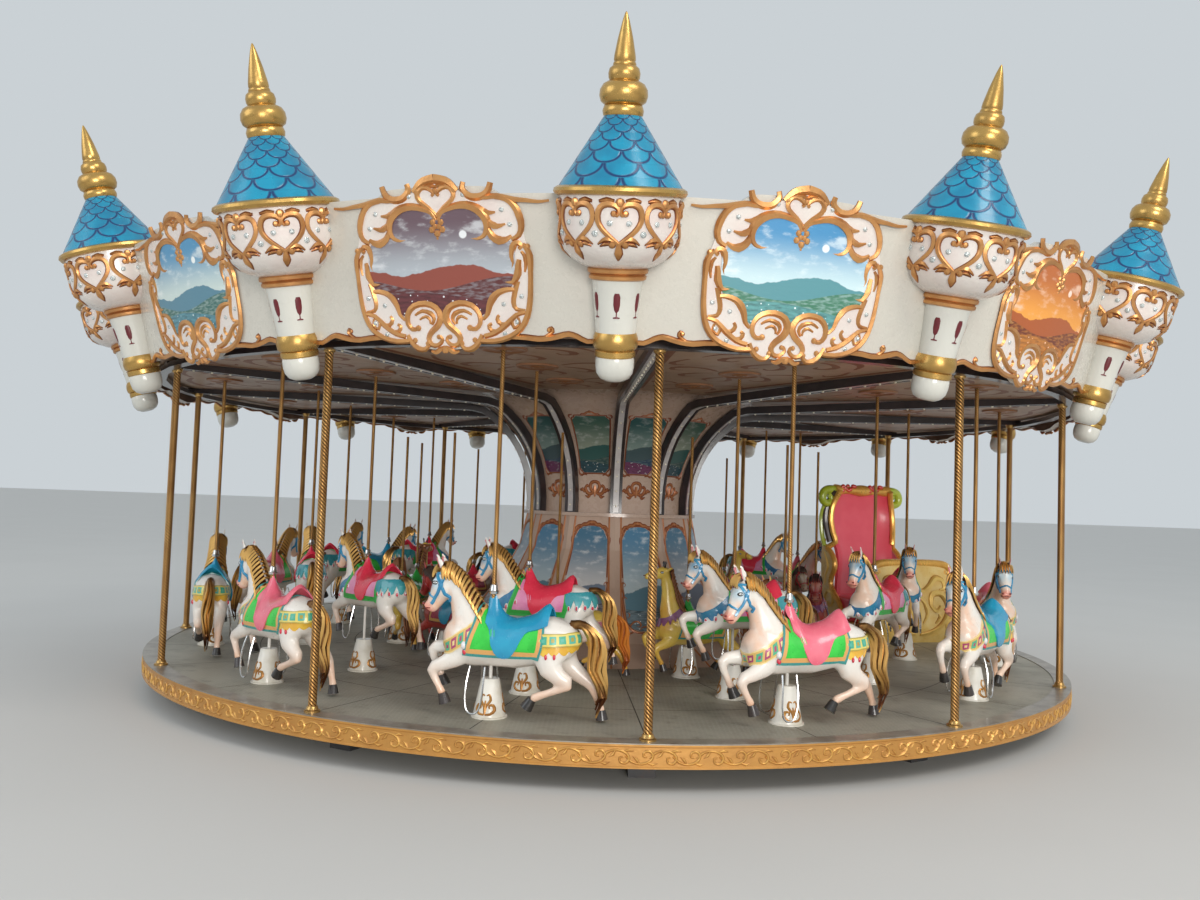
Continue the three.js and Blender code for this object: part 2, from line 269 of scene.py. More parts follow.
def bead(shape, x, z, size, flat=0.8, height=0.0):
    merge(shape, ball((x, -height, z), (size, size * flat, size), 7, 4))


def wrapped(part, wrap):
    """Bends a flat carving onto its ground, and marks how deep each vertex lies in its hollows, for the
    painted shade there.
    """
    layer = part.verts.layers.float.new(EDGE)
    for vert in part.verts:
        vert[layer] = 1 - min(1.0, max(0.0, -vert.co.y / CARVING))
    for vert in part.verts:
        vert.co = wrap(vert.co)
    return part


def carried(node, finish):
    """A CAD piece that shows as it is, with its own finish."""
    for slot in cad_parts[node].material_slots:
        slot.material = finish


class Piece:
    """A mesh made of parts. Each part has one finish, and parts are added at a place of their own."""

    def __init__(self, name):
        self.name = name
        self.shape = bmesh.new()
        self.shape.verts.layers.float.new(EDGE)
        self.finishes = []

    def add(self, part, finish, places=(Matrix.Identity(4),)):
        """Stamps a bmesh or a mesh at each place."""
        mesh = mesh_of(part) if isinstance(part, bmesh.types.BMesh) else part
        if finish not in self.finishes:
            self.finishes.append(finish)
        for place in places:
            vert_count, face_count = len(self.shape.verts), len(self.shape.faces)
            self.shape.from_mesh(mesh)
            self.shape.verts.ensure_lookup_table()
            self.shape.faces.ensure_lookup_table()
            bmesh.ops.transform(self.shape, matrix=place, verts=self.shape.verts[vert_count:])
            for face in self.shape.faces[face_count:]:
                face.material_index = self.finishes.index(finish)
        return self

    def mesh(self, smooth=math.radians(40)):
        """The finished mesh, with its own coordinates kept as an attribute."""
        mesh = bpy.data.meshes.new(self.name)
        self.shape.to_mesh(mesh)
        self.shape.free()
        for finish in self.finishes:
            mesh.materials.append(finish)
        return keep_own(mesh, smooth)


def keep_own(mesh, smooth=math.radians(40)):
    """Stores each vertex's place as the attribute that patterns read, and smooths the shading."""
    own = mesh.attributes.get(OWN) or mesh.attributes.new(OWN, "FLOAT_VECTOR", "POINT")
    places = [value for vert in mesh.vertices for value in vert.co]
    own.data.foreach_set("vector", places)
    mesh.shade_smooth()
    mesh.set_sharp_from_angle(angle=smooth)
    return mesh


def bent(mesh, wrap):
    """Bends a finished mesh. Its patterns stay as they were when it was flat."""
    for vert in mesh.vertices:
        vert.co = wrap(vert.co)
    return mesh


def refinish(mesh, finish, chosen):
    """Gives the chosen faces of a finished mesh another finish."""
    mesh.materials.append(finish)
    for face in mesh.polygons:
        if chosen(face):
            face.material_index = len(mesh.materials) - 1
    return mesh


def faces_axis(face):
    """Whether a face looks in towards the carousel's axis."""
    outwards = Vector((face.center.x, face.center.y, 0)).normalized()
    return face.normal.dot(outwards) < -0.5


def show(mesh, name, body, place=Matrix.Identity(4), replaces=()):
    """Puts a mesh in the scene at its place, riding on a body."""
    placed = mesh.copy()
    placed.transform(place)
    piece = bpy.data.objects.new(name, placed)
    bpy.context.scene.collection.objects.link(piece)
    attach(piece, body)
    if replaces:
        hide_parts(*replaces)
    return piece


def turn(angle):
    return Matrix.Rotation(angle, 4, "Z")


def shift(x, y, z):
    return Matrix.Translation((x, y, z))


# Shader helpers

class Number:
    """A number that a socket carries. Arithmetic on it adds Math nodes."""

    def __init__(self, finish, socket):
        self.finish = finish
        self.socket = socket

    def math(self, operation, *others):
        return self.finish.math(operation, self, *others)

    def __add__(self, other):
        return self.math("ADD", other)

    def __radd__(self, other):
        return self.math("ADD", other)

    def __sub__(self, other):
        return self.math("SUBTRACT", other)

    def __rsub__(self, other):
        return self.finish.math("SUBTRACT", other, self)

    def __mul__(self, other):
        return self.math("MULTIPLY", other)

    def __rmul__(self, other):
        return self.math("MULTIPLY", other)

    def __truediv__(self, other):
        return self.math("DIVIDE", other)

    def __mod__(self, other):
        return self.math("FLOORED_MODULO", other)

    def __pow__(self, other):
        return self.math("POWER", other)

    def __gt__(self, other):
        return self.math("GREATER_THAN", other)

    def __lt__(self, other):
        return self.math("LESS_THAN", other)

    def __abs__(self):
        return self.math("ABSOLUTE")

    def sine(self):
        return self.math("SINE")

    def least(self, other):
        return self.math("MINIMUM", other)

    def most(self, other):
        return self.math("MAXIMUM", other)

    def ease(self, low, high):
        """0 up to low, 1 from high on, and smooth between them."""
        settings = {"interpolation_type": "SMOOTHSTEP"}
        values = {"Value": self, "From Min": low, "From Max": high}
        return self.finish.number("MapRange", settings, values)


class Finish:
    """A material in the making, on one shader."""

    def __init__(self, name, roughness=0.5, metallic=0.0, **constants):
        self.material = bpy.data.materials.new(name)
        self.material.use_nodes = True
        self.nodes = self.material.node_tree.nodes
        self.links = self.material.node_tree.links
        self.shader = self.nodes["Principled BSDF"]
        self.set("Roughness", roughness)
        self.set("Metallic", metallic)
        for key, value in constants.items():
            self.set(key.replace("_", " ").title().replace("Ior", "IOR"), value)

    def feed(self, socket, value):
        if isinstance(value, Number):
            value = value.socket
        if isinstance(value, bpy.types.NodeSocket):
            self.links.new(value, socket)
        elif isinstance(value, (tuple, list)) and socket.type == "RGBA":
            socket.default_value = (*value[:3], 1)
        else:
            socket.default_value = value

    def set(self, key, value):
        self.feed(self.shader.inputs[key], value)

    def node(self, kind, settings=None, values=None, output=0):
        """Adds a node of a kind, with its settings, then its sockets' values or links."""
        node = self.nodes.new("ShaderNode" + kind)
        for key, setting in (settings or {}).items():
            if key == "stops":
                self.put_stops(node.color_ramp, setting)
            else:
                setattr(node, key, setting)
        for key, value in (values or {}).items():
            self.feed(node.inputs[key], value)
        return node.outputs[output]

    def put_stops(self, ramp, stops):
        while len(ramp.elements) < len(stops):
            ramp.elements.new(1.0)
        for element, (position, color) in zip(ramp.elements, stops):
            element.position = position
            element.color = (*color, 1)

    def number(self, *what, output=0):
        return Number(self, self.node(*what, output=output))

    def math(self, operation, *values):
        return self.number("Math", {"operation": operation}, dict(enumerate(values)))

    def split(self, vector):
        node = self.node("SeparateXYZ", {}, {0: vector}).node
        return [Number(self, socket) for socket in node.outputs]

    def join(self, x, y, z):
        return self.node("CombineXYZ", {}, {0: x, 1: y, 2: z})

    def object(self):
        return self.node("TexCoord", output="Object")

    def own(self):
        return self.node("Attribute", {"attribute_name": OWN}, output="Vector")

    def laid(self):
        """The (length, width) place on a band or cloth."""
        return self.split(self.node("Attribute", {"attribute_name": LAID}, output="Vector"))

    def distance(self, a, b):
        return self.number("VectorMath", {"operation": "DISTANCE"}, {0: a, 1: b}, output="Value")

    def cells(self, vector, scale):
        return self.number("TexVoronoi", {"feature": "F1"}, {"Vector": vector, "Scale": scale})

    def attribute(self, name):
        return self.number("Attribute", {"attribute_name": name}, output="Fac")

    def noise(self, vector, scale, detail=2.0, roughness=0.5):
        values = {"Vector": vector, "Scale": scale, "Detail": detail, "Roughness": roughness}
        return self.number("TexNoise", {}, values)

    def blend(self, factor, a, b):
        """Colour a where factor is 0 and colour b where it is 1."""
        settings = {"data_type": "RGBA", "clamp_factor": True}
        return self.node("Mix", settings, {0: factor, 6: a, 7: b}, output=2)

    def ramp(self, factor, *stops):
        return self.node("ValToRGB", {"stops": stops}, {0: factor})

    def bump(self, height, distance=0.002, strength=1.0):
        values = {"Strength": strength, "Distance": distance, "Height": height}
        self.set("Normal", self.node("Bump", {}, values, output="Normal"))


def paint(name, color, shade, roughness=0.28, coat_weight=0.5, bumps=0.0006):
    """Gloss paint on glass fibre: soft clouds of a second shade, thin dirt and a faint ripple."""
    finish = Finish(name, coat_weight=coat_weight, coat_roughness=0.12)
    place = finish.own()
    clouds = finish.noise(place, 3.5, 4.0).ease(0.42, 0.72)
    grime = finish.noise(place, 14, 6.0, 0.65)
    tone = finish.blend(clouds * 0.7, color, shade)
    dirty = tuple(channel * 0.72 for channel in shade)
    finish.set("Base Color", finish.blend(grime.ease(0.58, 0.8) * 0.35, tone, dirty))
    finish.set("Roughness", grime * 0.2 + (roughness - 0.1))
    finish.bump(finish.noise(place, 60, 2.0) + clouds, bumps)
    return finish.material


def gold_paint(name, bright, dark, metallic=0.75, roughness=0.34):
    """Gold paint with red-brown glaze in patches, and the same red-brown as painted shade in its hollows."""
    finish = Finish(name, metallic=metallic, roughness=roughness)
    place = finish.own()
    patches = finish.noise(place, 9, 4.0).ease(0.35, 0.75)
    fine = finish.noise(place, 70, 3.0)
    hollow = finish.attribute(EDGE)
    # painted shade: the hollows of carvings take the dark colour, mixed with random glaze patches
    glaze_and_shade = (hollow.ease(0.25, 0.9) * 0.8 + patches * 0.35).least(1.0)
    finish.set("Base Color", finish.blend(glaze_and_shade, bright, dark))
    finish.set("Roughness", fine * 0.18 + patches * 0.1 + (roughness - 0.12))
    finish.bump(fine * 0.4 + patches, 0.0012)
    return finish.material


SLIT_HEIGHT = 0.37                     # of a slit's foot, along its tower
# the boards' cream, darker than the real paint as painted shade
CREAM_IN_SHADE = (0.59, 0.565, 0.50)
GOLD = (0.66, 0.33, 0.12)
# the dark of the ornament gold is glaze in patches and painted shade in the hollows
GOLD_GLAZE_AND_SHADE = (0.22, 0.06, 0.025)
SPIRE_GOLD = (0.58, 0.36, 0.11)
SPIRE_SHADE = (0.28, 0.14, 0.04)

# painted shade: these creams are the real paint darkened for the slight shade that the boards and towers
# stand in
cream_in_shade_paint = paint("cream_in_shade_paint", CREAM_IN_SHADE, (0.575, 0.535, 0.475))
drum_paint_in_shade = paint("drum_paint_in_shade", (0.74, 0.68, 0.63), (0.70, 0.58, 0.54))
ball_paint_in_shade = paint("ball_paint_in_shade", (0.65, 0.64, 0.58), (0.60, 0.585, 0.53), roughness=0.22)
ornament_gold = gold_paint("ornament_gold", GOLD, GOLD_GLAZE_AND_SHADE)
spire_gold = gold_paint("spire_gold", SPIRE_GOLD, SPIRE_SHADE, metallic=0.85, roughness=0.3)


def scale_paint():
    """Gloss teal with rows of round scales, each row over the one below. The dark lines between them are
    partly the scales' own dark outline and partly painted shadow under each scale's lower edge.
    """
    finish = Finish("scale_paint", coat_weight=0.2, coat_roughness=0.15)
    place = finish.own()
    x, y, z = finish.split(place)
    row = finish.math("LOGARITHM", (CONE_APEX - z) / (CONE_APEX - CONE_HEAD[1]), 1 / SCALE_SHRINK)
    whole, part = finish.math("FLOOR", row), finish.math("FRACT", row)
    around = finish.math("ARCTAN2", x, y) * (SCALES / math.tau) + whole * 0.5 + SCALES
    across = abs(finish.math("FRACT", around) - 0.5) * 2
    down = ((part - SCALE_SHOULDER) / (1 - SCALE_SHOULDER)).most(0.0)
    reach = finish.math("SQRT", across * across + down * down)
    groove = 1 - abs(reach - 0.94).ease(0.03, 0.13)
    groove = groove * (part > SCALE_SHOULDER)
    patches = finish.noise(place, 6, 3.0)
    sky = finish.blend(patches.ease(0.35, 0.7), (0.003, 0.18, 0.32), (0.004, 0.26, 0.42))
    # the groove colour is partly the scales' own dark outline and partly painted shadow below each scale
    finish.set("Base Color", finish.blend(groove, sky, (0.003, 0.035, 0.13)))
    finish.set("Roughness", patches * 0.12 + 0.2)
    inside = reach < 0.94
    finish.bump(inside * (part * 0.5 + 0.3) - groove * 0.4, 0.006)
    return finish.material


def slit_paint():
    finish = Finish("slit_paint", roughness=0.35)
    place = finish.own()
    finish.set("Base Color", finish.blend(finish.noise(place, 30), (0.10, 0.008, 0.016), (0.17, 0.015, 0.02)))
    finish.bump(finish.noise(place, 90), 0.0005)
    return finish.material


def gem_glass():
    """Clear cut stones, with pale foil behind them."""
    finish = Finish("gem_glass", roughness=0.05, coat_weight=1.0, coat_roughness=0.02)
    place = finish.own()
    facets = finish.cells(place, 150.0)
    finish.set("Base Color", finish.ramp(facets, (0.0, (0.85, 0.88, 0.87)), (0.6, (0.42, 0.46, 0.45))))
    finish.set("Metallic", facets.ease(0.2, 0.8) * 0.5)
    finish.bump(facets, 0.002)
    return finish.material


slit_maroon = slit_paint()
gem = gem_glass()


# Towers. Each is turned about its own axis, with z as the distance from its bottom ball.

BALL = [(0.052, 0.005), (0.084, 0.022), (0.104, 0.052), (0.111, 0.09), (0.111, 0.128), (0.107, 0.143)]
NECK_RING = [(0.108, 0.143), (0.115, 0.15), (0.115, 0.178), (0.108, 0.186)]
THICK_RING = [(0.113, 0.187), (0.125, 0.2), (0.129, 0.228), (0.126, 0.258), (0.116, 0.283)]
CYLINDER = [(0.114, 0.27), (0.116, 0.3), (0.124, 0.4), (0.135, 0.5), (0.143, 0.576)]
LOWER_BEAD = [(0.147, 0.575), (0.16, 0.582), (0.162, 0.598), (0.152, 0.609)]
UPPER_BEAD = [(0.152, 0.609), (0.168, 0.616), (0.171, 0.634), (0.16, 0.648)]
DRUM = [(0.155, 0.64), (0.205, 0.655), (0.262, 0.688), (0.305, 0.735), (0.328, 0.79), (0.334, 0.85),
        (0.335, 1.03)]
RIM = [(0.335, 1.022), (0.358, 1.028), (0.37, 1.045), (0.366, 1.062), (0.348, 1.073)]
CONE_FOOT, CONE_HEAD = (0.345, 1.068), (0.101, 1.445)
COLLAR = [(0.098, 1.437), (0.108, 1.447), (0.112, 1.47), (0.104, 1.495), (0.098, 1.5)]
BIG_BALL = [(0.1, 1.498), (0.122, 1.515), (0.131, 1.545), (0.128, 1.578), (0.112, 1.605), (0.083, 1.622)]
SMALL_BALL = [(0.075, 1.619), (0.084, 1.636), (0.086, 1.66), (0.08, 1.684), (0.064, 1.698)]
SPIKE = [(0.06, 1.696), (0.063, 1.704), (0.06, 1.714), (0.056, 1.719), (0.059, 1.727), (0.057, 1.75),
         (0.042, 1.83), (0.02, 1.92), (0.007, 1.96), (0.002, 1.968)]
TOWER_SIDES = 32
FULL_WIDTH = 0.12                      # carvings keep their width down to this radius
BEHIND = 0.055                         # a tower is flat this far behind its axis, inside the boards

HEARTS = 8
SLITS = 6
SCALES = 9                             # scales in a row
SCALE_SHRINK = 0.85                    # from one row up to the next
SCALE_SHOULDER = 0.03                  # share of a row above the round part of its scales
CONE_APEX = CONE_FOOT[1] + CONE_FOOT[0] * (CONE_HEAD[1] - CONE_FOOT[1]) / (CONE_FOOT[0] - CONE_HEAD[0])


def half_lathe(profile):
    """A turned part with its back cut off flat where it stands on the boards."""
    part = lathe(profile, TOWER_SIDES)
    everything = [*part.verts, *part.edges, *part.faces]
    cut = bmesh.ops.bisect_plane(part, geom=everything, plane_co=(0, BEHIND, 0), plane_no=(0, 1, 0),
                                 clear_outer=True)["geom_cut"]
    bmesh.ops.contextual_create(part, geom=only(bmesh.types.BMEdge, cut))
    return part


def slit():
    """A goblet-shaped slit with its stem and foot: a turned goblet, pressed nearly flat."""
    part = lathe([(0.019, 0.0), (0.019, 0.006), (0.004, 0.01), (0.003, 0.03), (0.013, 0.045),
                  (0.019, 0.075), (0.019, 0.12), (0.012, 0.138)], 8)
    bmesh.ops.scale(part, vec=(1, 0.2, 1), verts=part.verts)
    return moved(part, 0, 0, SLIT_HEIGHT)


def on_turned(profile):
    """Wraps a flat carving round a turned profile."""
    heights = [(height, radius) for radius, height in profile]

    def wrap(point):
        radius = track(heights, point.z)
        angle = point.x / max(radius, FULL_WIDTH)
        return round_axis(angle, radius - point.y, point.z)
    return wrap


def heart():
    """Carved heart with an acorn over it, leaves and a drop below. z is the distance up the tower."""
    gold = bmesh.new()
    carved(gold, [(-0.03, 0.93), (-0.014, 0.922), (-0.004, 0.94), (-0.012, 0.962), (-0.045, 0.978),
                  (-0.088, 0.974), (-0.113, 0.944), (-0.115, 0.895), (-0.091, 0.852), (-0.046, 0.81),
                  (-0.002, 0.776)], (0.01, 0.019, 0.013))
    carved(gold, [(-0.012, 0.785), (-0.05, 0.8), (-0.08, 0.797), (-0.112, 0.773)], (0.008, 0.017, 0.005))
    carved(gold, [(-0.04, 0.775), (-0.075, 0.775), (-0.1, 0.762)], (0.008, 0.012, 0.004))
    carved(gold, [(-0.03, 0.993), (-0.07, 0.999), (-0.112, 0.993)], (0.01, 0.016, 0.008), 0.6)
    bead(gold, -0.031, 0.931, 0.018)
    bead(gold, -0.034, 0.772, 0.02)
    mirrored(gold)
    bead(gold, 0, 0.986, 0.026)
    carved(gold, [(0, 0.78), (0, 0.745), (0, 0.71), (0, 0.688)], (0.014, 0.026, 0.004), 0.6)
    return gold


def gems(places, size):
    stones = bmesh.new()
    for x, z in places:
        bead(stones, x, z, size, 0.6)
    return stones


scale_blue = scale_paint()


def tower_mesh():
    tower = Piece("tower")
    tower.add(lathe(BALL, TOWER_SIDES), ball_paint_in_shade)
    for ring in (NECK_RING, THICK_RING):
        tower.add(lathe(ring, TOWER_SIDES), spire_gold)
    tower.add(half_lathe(CYLINDER), ball_paint_in_shade)
    for ring in (LOWER_BEAD, UPPER_BEAD):
        tower.add(half_lathe(ring), ornament_gold)
    tower.add(half_lathe(DRUM), drum_paint_in_shade)
    for ring in (RIM, COLLAR, BIG_BALL, SMALL_BALL, SPIKE):
        tower.add(lathe(ring, TOWER_SIDES), spire_gold)
    tower.add(lathe([CONE_FOOT, CONE_HEAD], TOWER_SIDES), scale_blue)
    tower.add(wrapped(slit(), on_turned(CYLINDER)), slit_maroon,
              [turn(i * math.tau / SLITS) for i in (-1, 0, 1)])
    front = [turn(i * math.tau / HEARTS) for i in (-2, -1, 0, 1, 2)]
    tower.add(wrapped(heart(), on_turned(DRUM)), ornament_gold, front)
    tower.add(wrapped(gems([(-0.051, 0.882), (0.051, 0.882)], 0.017), on_turned(DRUM)), gem, front)
    between = [turn((i + 0.5) * math.tau / HEARTS) for i in (-2, -1, 0, 1)]
    tower.add(wrapped(gems([(0, 0.828)], 0.019), on_turned(DRUM)), gem, between)
    return tower.mesh()


def towers():
    mesh = tower_mesh()
    for i in range(TOWERS):
        place = turn(i * TOWER_ANGLE) @ shift(0, -FOOT_RADIUS, FOOT_HEIGHT) @ Matrix.Rotation(LEAN, 4, "X")
        node = f"tower_{i + 1:02d}"
        show(mesh, node + "_dressed", "turntable", place, [node])


# Rounding boards. A board is flat in (x across, z up its slope), then bent onto the leaning cone.

BOARD_REACH = FOOT_RADIUS + BOARD_MIDDLE * math.sin(LEAN) - BOARD_SETBACK / math.cos(LEAN)
HALF_BAY = BOARD_REACH * TOWER_ANGLE / 2
BOARD_TOP = [(0, 1.1), (0.3, 1.09), (0.36, 1.05), (HALF_BAY, 1.05)]
BOARD_EDGE = [(0, 0.17), (0.16, 0.185), (0.23, 0.22), (0.31, 0.23), (0.4, 0.25), (0.5, 0.245),
              (0.57, 0.237), (0.64, 0.243), (0.7, 0.257), (0.75, 0.268), (0.8, 0.255), (0.86, 0.228),
              (0.93, 0.235), (HALF_BAY, 0.27)]
PLATE_TOP = [(0, 1.13), (0.06, 1.12), (0.12, 1.075), (0.21, 1.035), (0.3, 1.045), (0.35, 1.03),
             (0.42, 1.0), (0.462, 0.947), (0.482, 0.88), (0.5, 0.81), (0.52, 0.75), (0.54, 0.69)]
PLATE_EDGE = [(0, 0.165), (0.1, 0.2), (0.16, 0.178), (0.2, 0.21), (0.225, 0.228), (0.305, 0.228),
              (0.4, 0.25), (0.472, 0.3), (0.515, 0.38), (0.528, 0.467), (0.535, 0.576), (0.54, 0.67)]
PICTURE_TOP = [(0, 0.915), (0.03, 0.945), (0.078, 0.976), (0.143, 0.99), (0.208, 0.983), (0.262, 0.95),
               (0.288, 0.905), (0.3, 0.83), (0.34, 0.8), (0.43, 0.79), (0.445, 0.75)]
PICTURE_EDGE = [(0, 0.388), (0.035, 0.417), (0.1, 0.446), (0.174, 0.438), (0.222, 0.388), (0.25, 0.36),
                (0.275, 0.4), (0.31, 0.489), (0.37, 0.511), (0.435, 0.53), (0.445, 0.58)]


def on_boards(point):
    angle = point.x / BOARD_REACH
    out = -point.y
    radius = (FOOT_RADIUS + point.z * math.sin(LEAN) - BOARD_SETBACK / math.cos(LEAN)
              + out * math.cos(LEAN))
    height = FOOT_HEIGHT + point.z * math.cos(LEAN) - out * math.sin(LEAN)
    return round_axis(angle, radius, height)


def slab(half_width, edge, top, columns, rows, front, back):
    """A flat plate between two outlines, each given for x from 0 on, and mirrored."""
    part = grid(columns, rows)
    for vert in part.verts:
        x, up = half_width * vert.co.x, (vert.co.y + 1) / 2
        vert.co = (x, -front, mix(track(edge, abs(x)), track(top, abs(x)), up))
    return raised(part, (0, front - back, 0))


def cartouche():
    """Carved and gilded frame of scrolls. Heights are from the frame's own lowest point."""
    gold = bmesh.new()
    # Hooks on the top edge, and the thin branch that runs towards the tower
    carved(gold, [(0.318, 0.962), (0.306, 0.925), (0.285, 0.9), (0.25, 0.886), (0.205, 0.888),
                  (0.175, 0.908), (0.158, 0.935), (0.165, 0.968)], (0.017, 0.024, 0.015))
    carved(gold, [(0.22, 0.886), (0.29, 0.883), (0.35, 0.887), (0.44, 0.868), (0.51, 0.862),
                  (0.58, 0.855), (0.64, 0.862)], (0.018, 0.016, 0.007))
    # Arch over the heart, and the heart
    carved(gold, [(0.128, 0.922), (0.1, 0.952), (0.06, 0.98), (0.0, 0.992)], (0.014, 0.025, 0.03))
    carved(gold, [(0.11, 0.905), (0.075, 0.945), (0.03, 0.955), (0.0, 0.945)], (0.006, 0.014, 0.01))
    bead(gold, 0.108, 0.925, 0.02)
    carved(gold, [(0.0, 0.785), (0.045, 0.832), (0.095, 0.872), (0.107, 0.912), (0.08, 0.944),
                  (0.04, 0.94), (0.008, 0.912), (0.022, 0.898)], (0.012, 0.017, 0.01))
    # Pendant
    bead(gold, 0.024, 0.752, 0.021)
    bead(gold, 0.031, 0.712, 0.022)
    bead(gold, 0.012, 0.728, 0.02)
    # Lobe over the picture, with leaves on its outer side
    carved(gold, [(0.006, 0.762), (0.03, 0.806), (0.078, 0.828), (0.143, 0.842), (0.208, 0.833),
                  (0.262, 0.8), (0.288, 0.755), (0.29, 0.704), (0.268, 0.668), (0.23, 0.655),
                  (0.188, 0.664)], (0.012, 0.03, 0.007))
    carved(gold, [(0.22, 0.825), (0.265, 0.808), (0.3, 0.796), (0.34, 0.8)], (0.018, 0.02, 0.006))
    carved(gold, [(0.278, 0.77), (0.315, 0.735), (0.35, 0.722), (0.395, 0.735)], (0.014, 0.021, 0.006))
    carved(gold, [(0.29, 0.715), (0.318, 0.668), (0.36, 0.643), (0.4, 0.65), (0.428, 0.672)],
           (0.018, 0.027, 0.008))
    # Outer frame, from the top branch down to the side scroll
    carved(gold, [(0.34, 0.884), (0.4, 0.872), (0.445, 0.835), (0.473, 0.78), (0.484, 0.725),
                  (0.47, 0.675), (0.43, 0.65)], (0.016, 0.022, 0.014))
    # Side scroll, with ridges outside and two hooks inside
    carved(gold, [(0.468, 0.598), (0.482, 0.612), (0.468, 0.632), (0.442, 0.625), (0.43, 0.595),
                  (0.427, 0.555), (0.434, 0.52), (0.418, 0.482)], (0.012, 0.022, 0.007))
    carved(gold, [(0.468, 0.54), (0.462, 0.505), (0.458, 0.462), (0.43, 0.412), (0.385, 0.418)],
           (0.014, 0.024, 0.008))
    carved(gold, [(0.49, 0.625), (0.512, 0.6), (0.528, 0.56), (0.532, 0.5), (0.53, 0.45)],
           (0.012, 0.02, 0.014))
    carved(gold, [(0.48, 0.585), (0.5, 0.56), (0.507, 0.52), (0.5, 0.47)], (0.008, 0.014, 0.006))
    bead(gold, 0.516, 0.612, 0.018)
    # Outer line, down and in to the bottom
    carved(gold, [(0.532, 0.47), (0.53, 0.38), (0.526, 0.31), (0.51, 0.225), (0.47, 0.152),
                  (0.4, 0.104), (0.31, 0.08), (0.225, 0.082)], (0.015, 0.019, 0.017))
    # Inner line, and its link to the side
    carved(gold, [(0.44, 0.372), (0.4, 0.374), (0.345, 0.358), (0.308, 0.325), (0.286, 0.28),
                  (0.274, 0.235), (0.245, 0.203)], (0.012, 0.024, 0.01))
    carved(gold, [(0.456, 0.42), (0.438, 0.35), (0.43, 0.3), (0.446, 0.262), (0.498, 0.254)],
           (0.016, 0.015, 0.01))
    # Diagonal stem with its leaves and curls
    carved(gold, [(0.5, 0.245), (0.445, 0.23), (0.384, 0.174), (0.315, 0.126), (0.25, 0.108)],
           (0.012, 0.019, 0.016))
    carved(gold, [(0.39, 0.18), (0.352, 0.176), (0.33, 0.205), (0.342, 0.228)], (0.01, 0.014, 0.009))
    carved(gold, [(0.33, 0.135), (0.292, 0.14), (0.28, 0.168), (0.298, 0.178)], (0.01, 0.014, 0.009))
    carved(gold, [(0.452, 0.222), (0.418, 0.2), (0.43, 0.155), (0.462, 0.175), (0.455, 0.215)],
           (0.008, 0.011, 0.008))
    # Ram's-horn scrolls at the bottom, with ridges in them
    carved(gold, [(0.162, 0.152), (0.2, 0.148), (0.228, 0.182), (0.224, 0.238), (0.18, 0.285),
                  (0.105, 0.298), (0.04, 0.272), (0.014, 0.218), (0.036, 0.167), (0.078, 0.131),
                  (0.1, 0.094), (0.084, 0.06), (0.045, 0.055), (0.014, 0.083), (0.028, 0.107)],
           (0.013, 0.024, 0.011))
    carved(gold, [(0.178, 0.23), (0.13, 0.254), (0.075, 0.238), (0.058, 0.205), (0.074, 0.175)],
           (0.007, 0.015, 0.008))
    carved(gold, [(0.15, 0.205), (0.112, 0.222), (0.086, 0.205), (0.084, 0.178)], (0.006, 0.011, 0.006))
    bead(gold, 0.163, 0.155, 0.019)
    bead(gold, 0.036, 0.103, 0.015)
    # Curls and drops along the bottom edge
    carved(gold, [(0.236, 0.116), (0.212, 0.07), (0.172, 0.036), (0.128, 0.032), (0.104, 0.058)],
           (0.014, 0.02, 0.012))
    bead(gold, 0.19, 0.084, 0.017)
    bead(gold, 0.108, 0.064, 0.017)
    carved(gold, [(0.0, 0.04), (0.03, 0.03), (0.06, 0.012), (0.09, 0.02)], (0.014, 0.017, 0.006))
    mirrored(gold)
    bead(gold, 0, 0.69, 0.023)
    bead(gold, 0, 0.664, 0.012)
    bead(gold, 0, 0.027, 0.024)
    bead(gold, 0, 0.925, 0.017)
    return gold


PLATE_THICKNESS = 0.012
CARTOUCHE_FOOT = 0.148                 # the frame's lowest point, up the boards' slope
CARTOUCHE_GEMS = [(0.375, 0.813), (0.42, 0.733), (0.478, 0.335), (0.372, 0.29), (0.45, 0.19),
                  (0.375, 0.122), (0.16, 0.9)]


def trim():
    """Gilded wavy moulding along the boards' lower edge, with a curl on it, for one bay."""
    gold = bmesh.new()
    line = [(x, z + 0.004) for x, z in BOARD_EDGE if 0.38 < x < 0.94]
    carved(gold, line, (0.018, 0.019, 0.014), 0.9, 2)
    carved(gold, [(0.6, 0.245), (0.63, 0.262), (0.655, 0.285), (0.648, 0.305), (0.63, 0.296)],
           (0.012, 0.013, 0.009))
    bead(gold, 0.634, 0.293, 0.014)
    return mirrored(gold)


def board_back():
    """Brown stain on the boards' hidden side."""
    finish = Finish("board_back", roughness=0.6)
    place = finish.own()
    stain = finish.noise(place, 6, 5.0)
    finish.set("Base Color", finish.blend(stain.ease(0.3, 0.7), (0.10, 0.055, 0.035), (0.17, 0.10, 0.065)))
    finish.set("Roughness", stain * 0.3 + 0.45)
    finish.bump(stain, 0.002)
    return finish.material


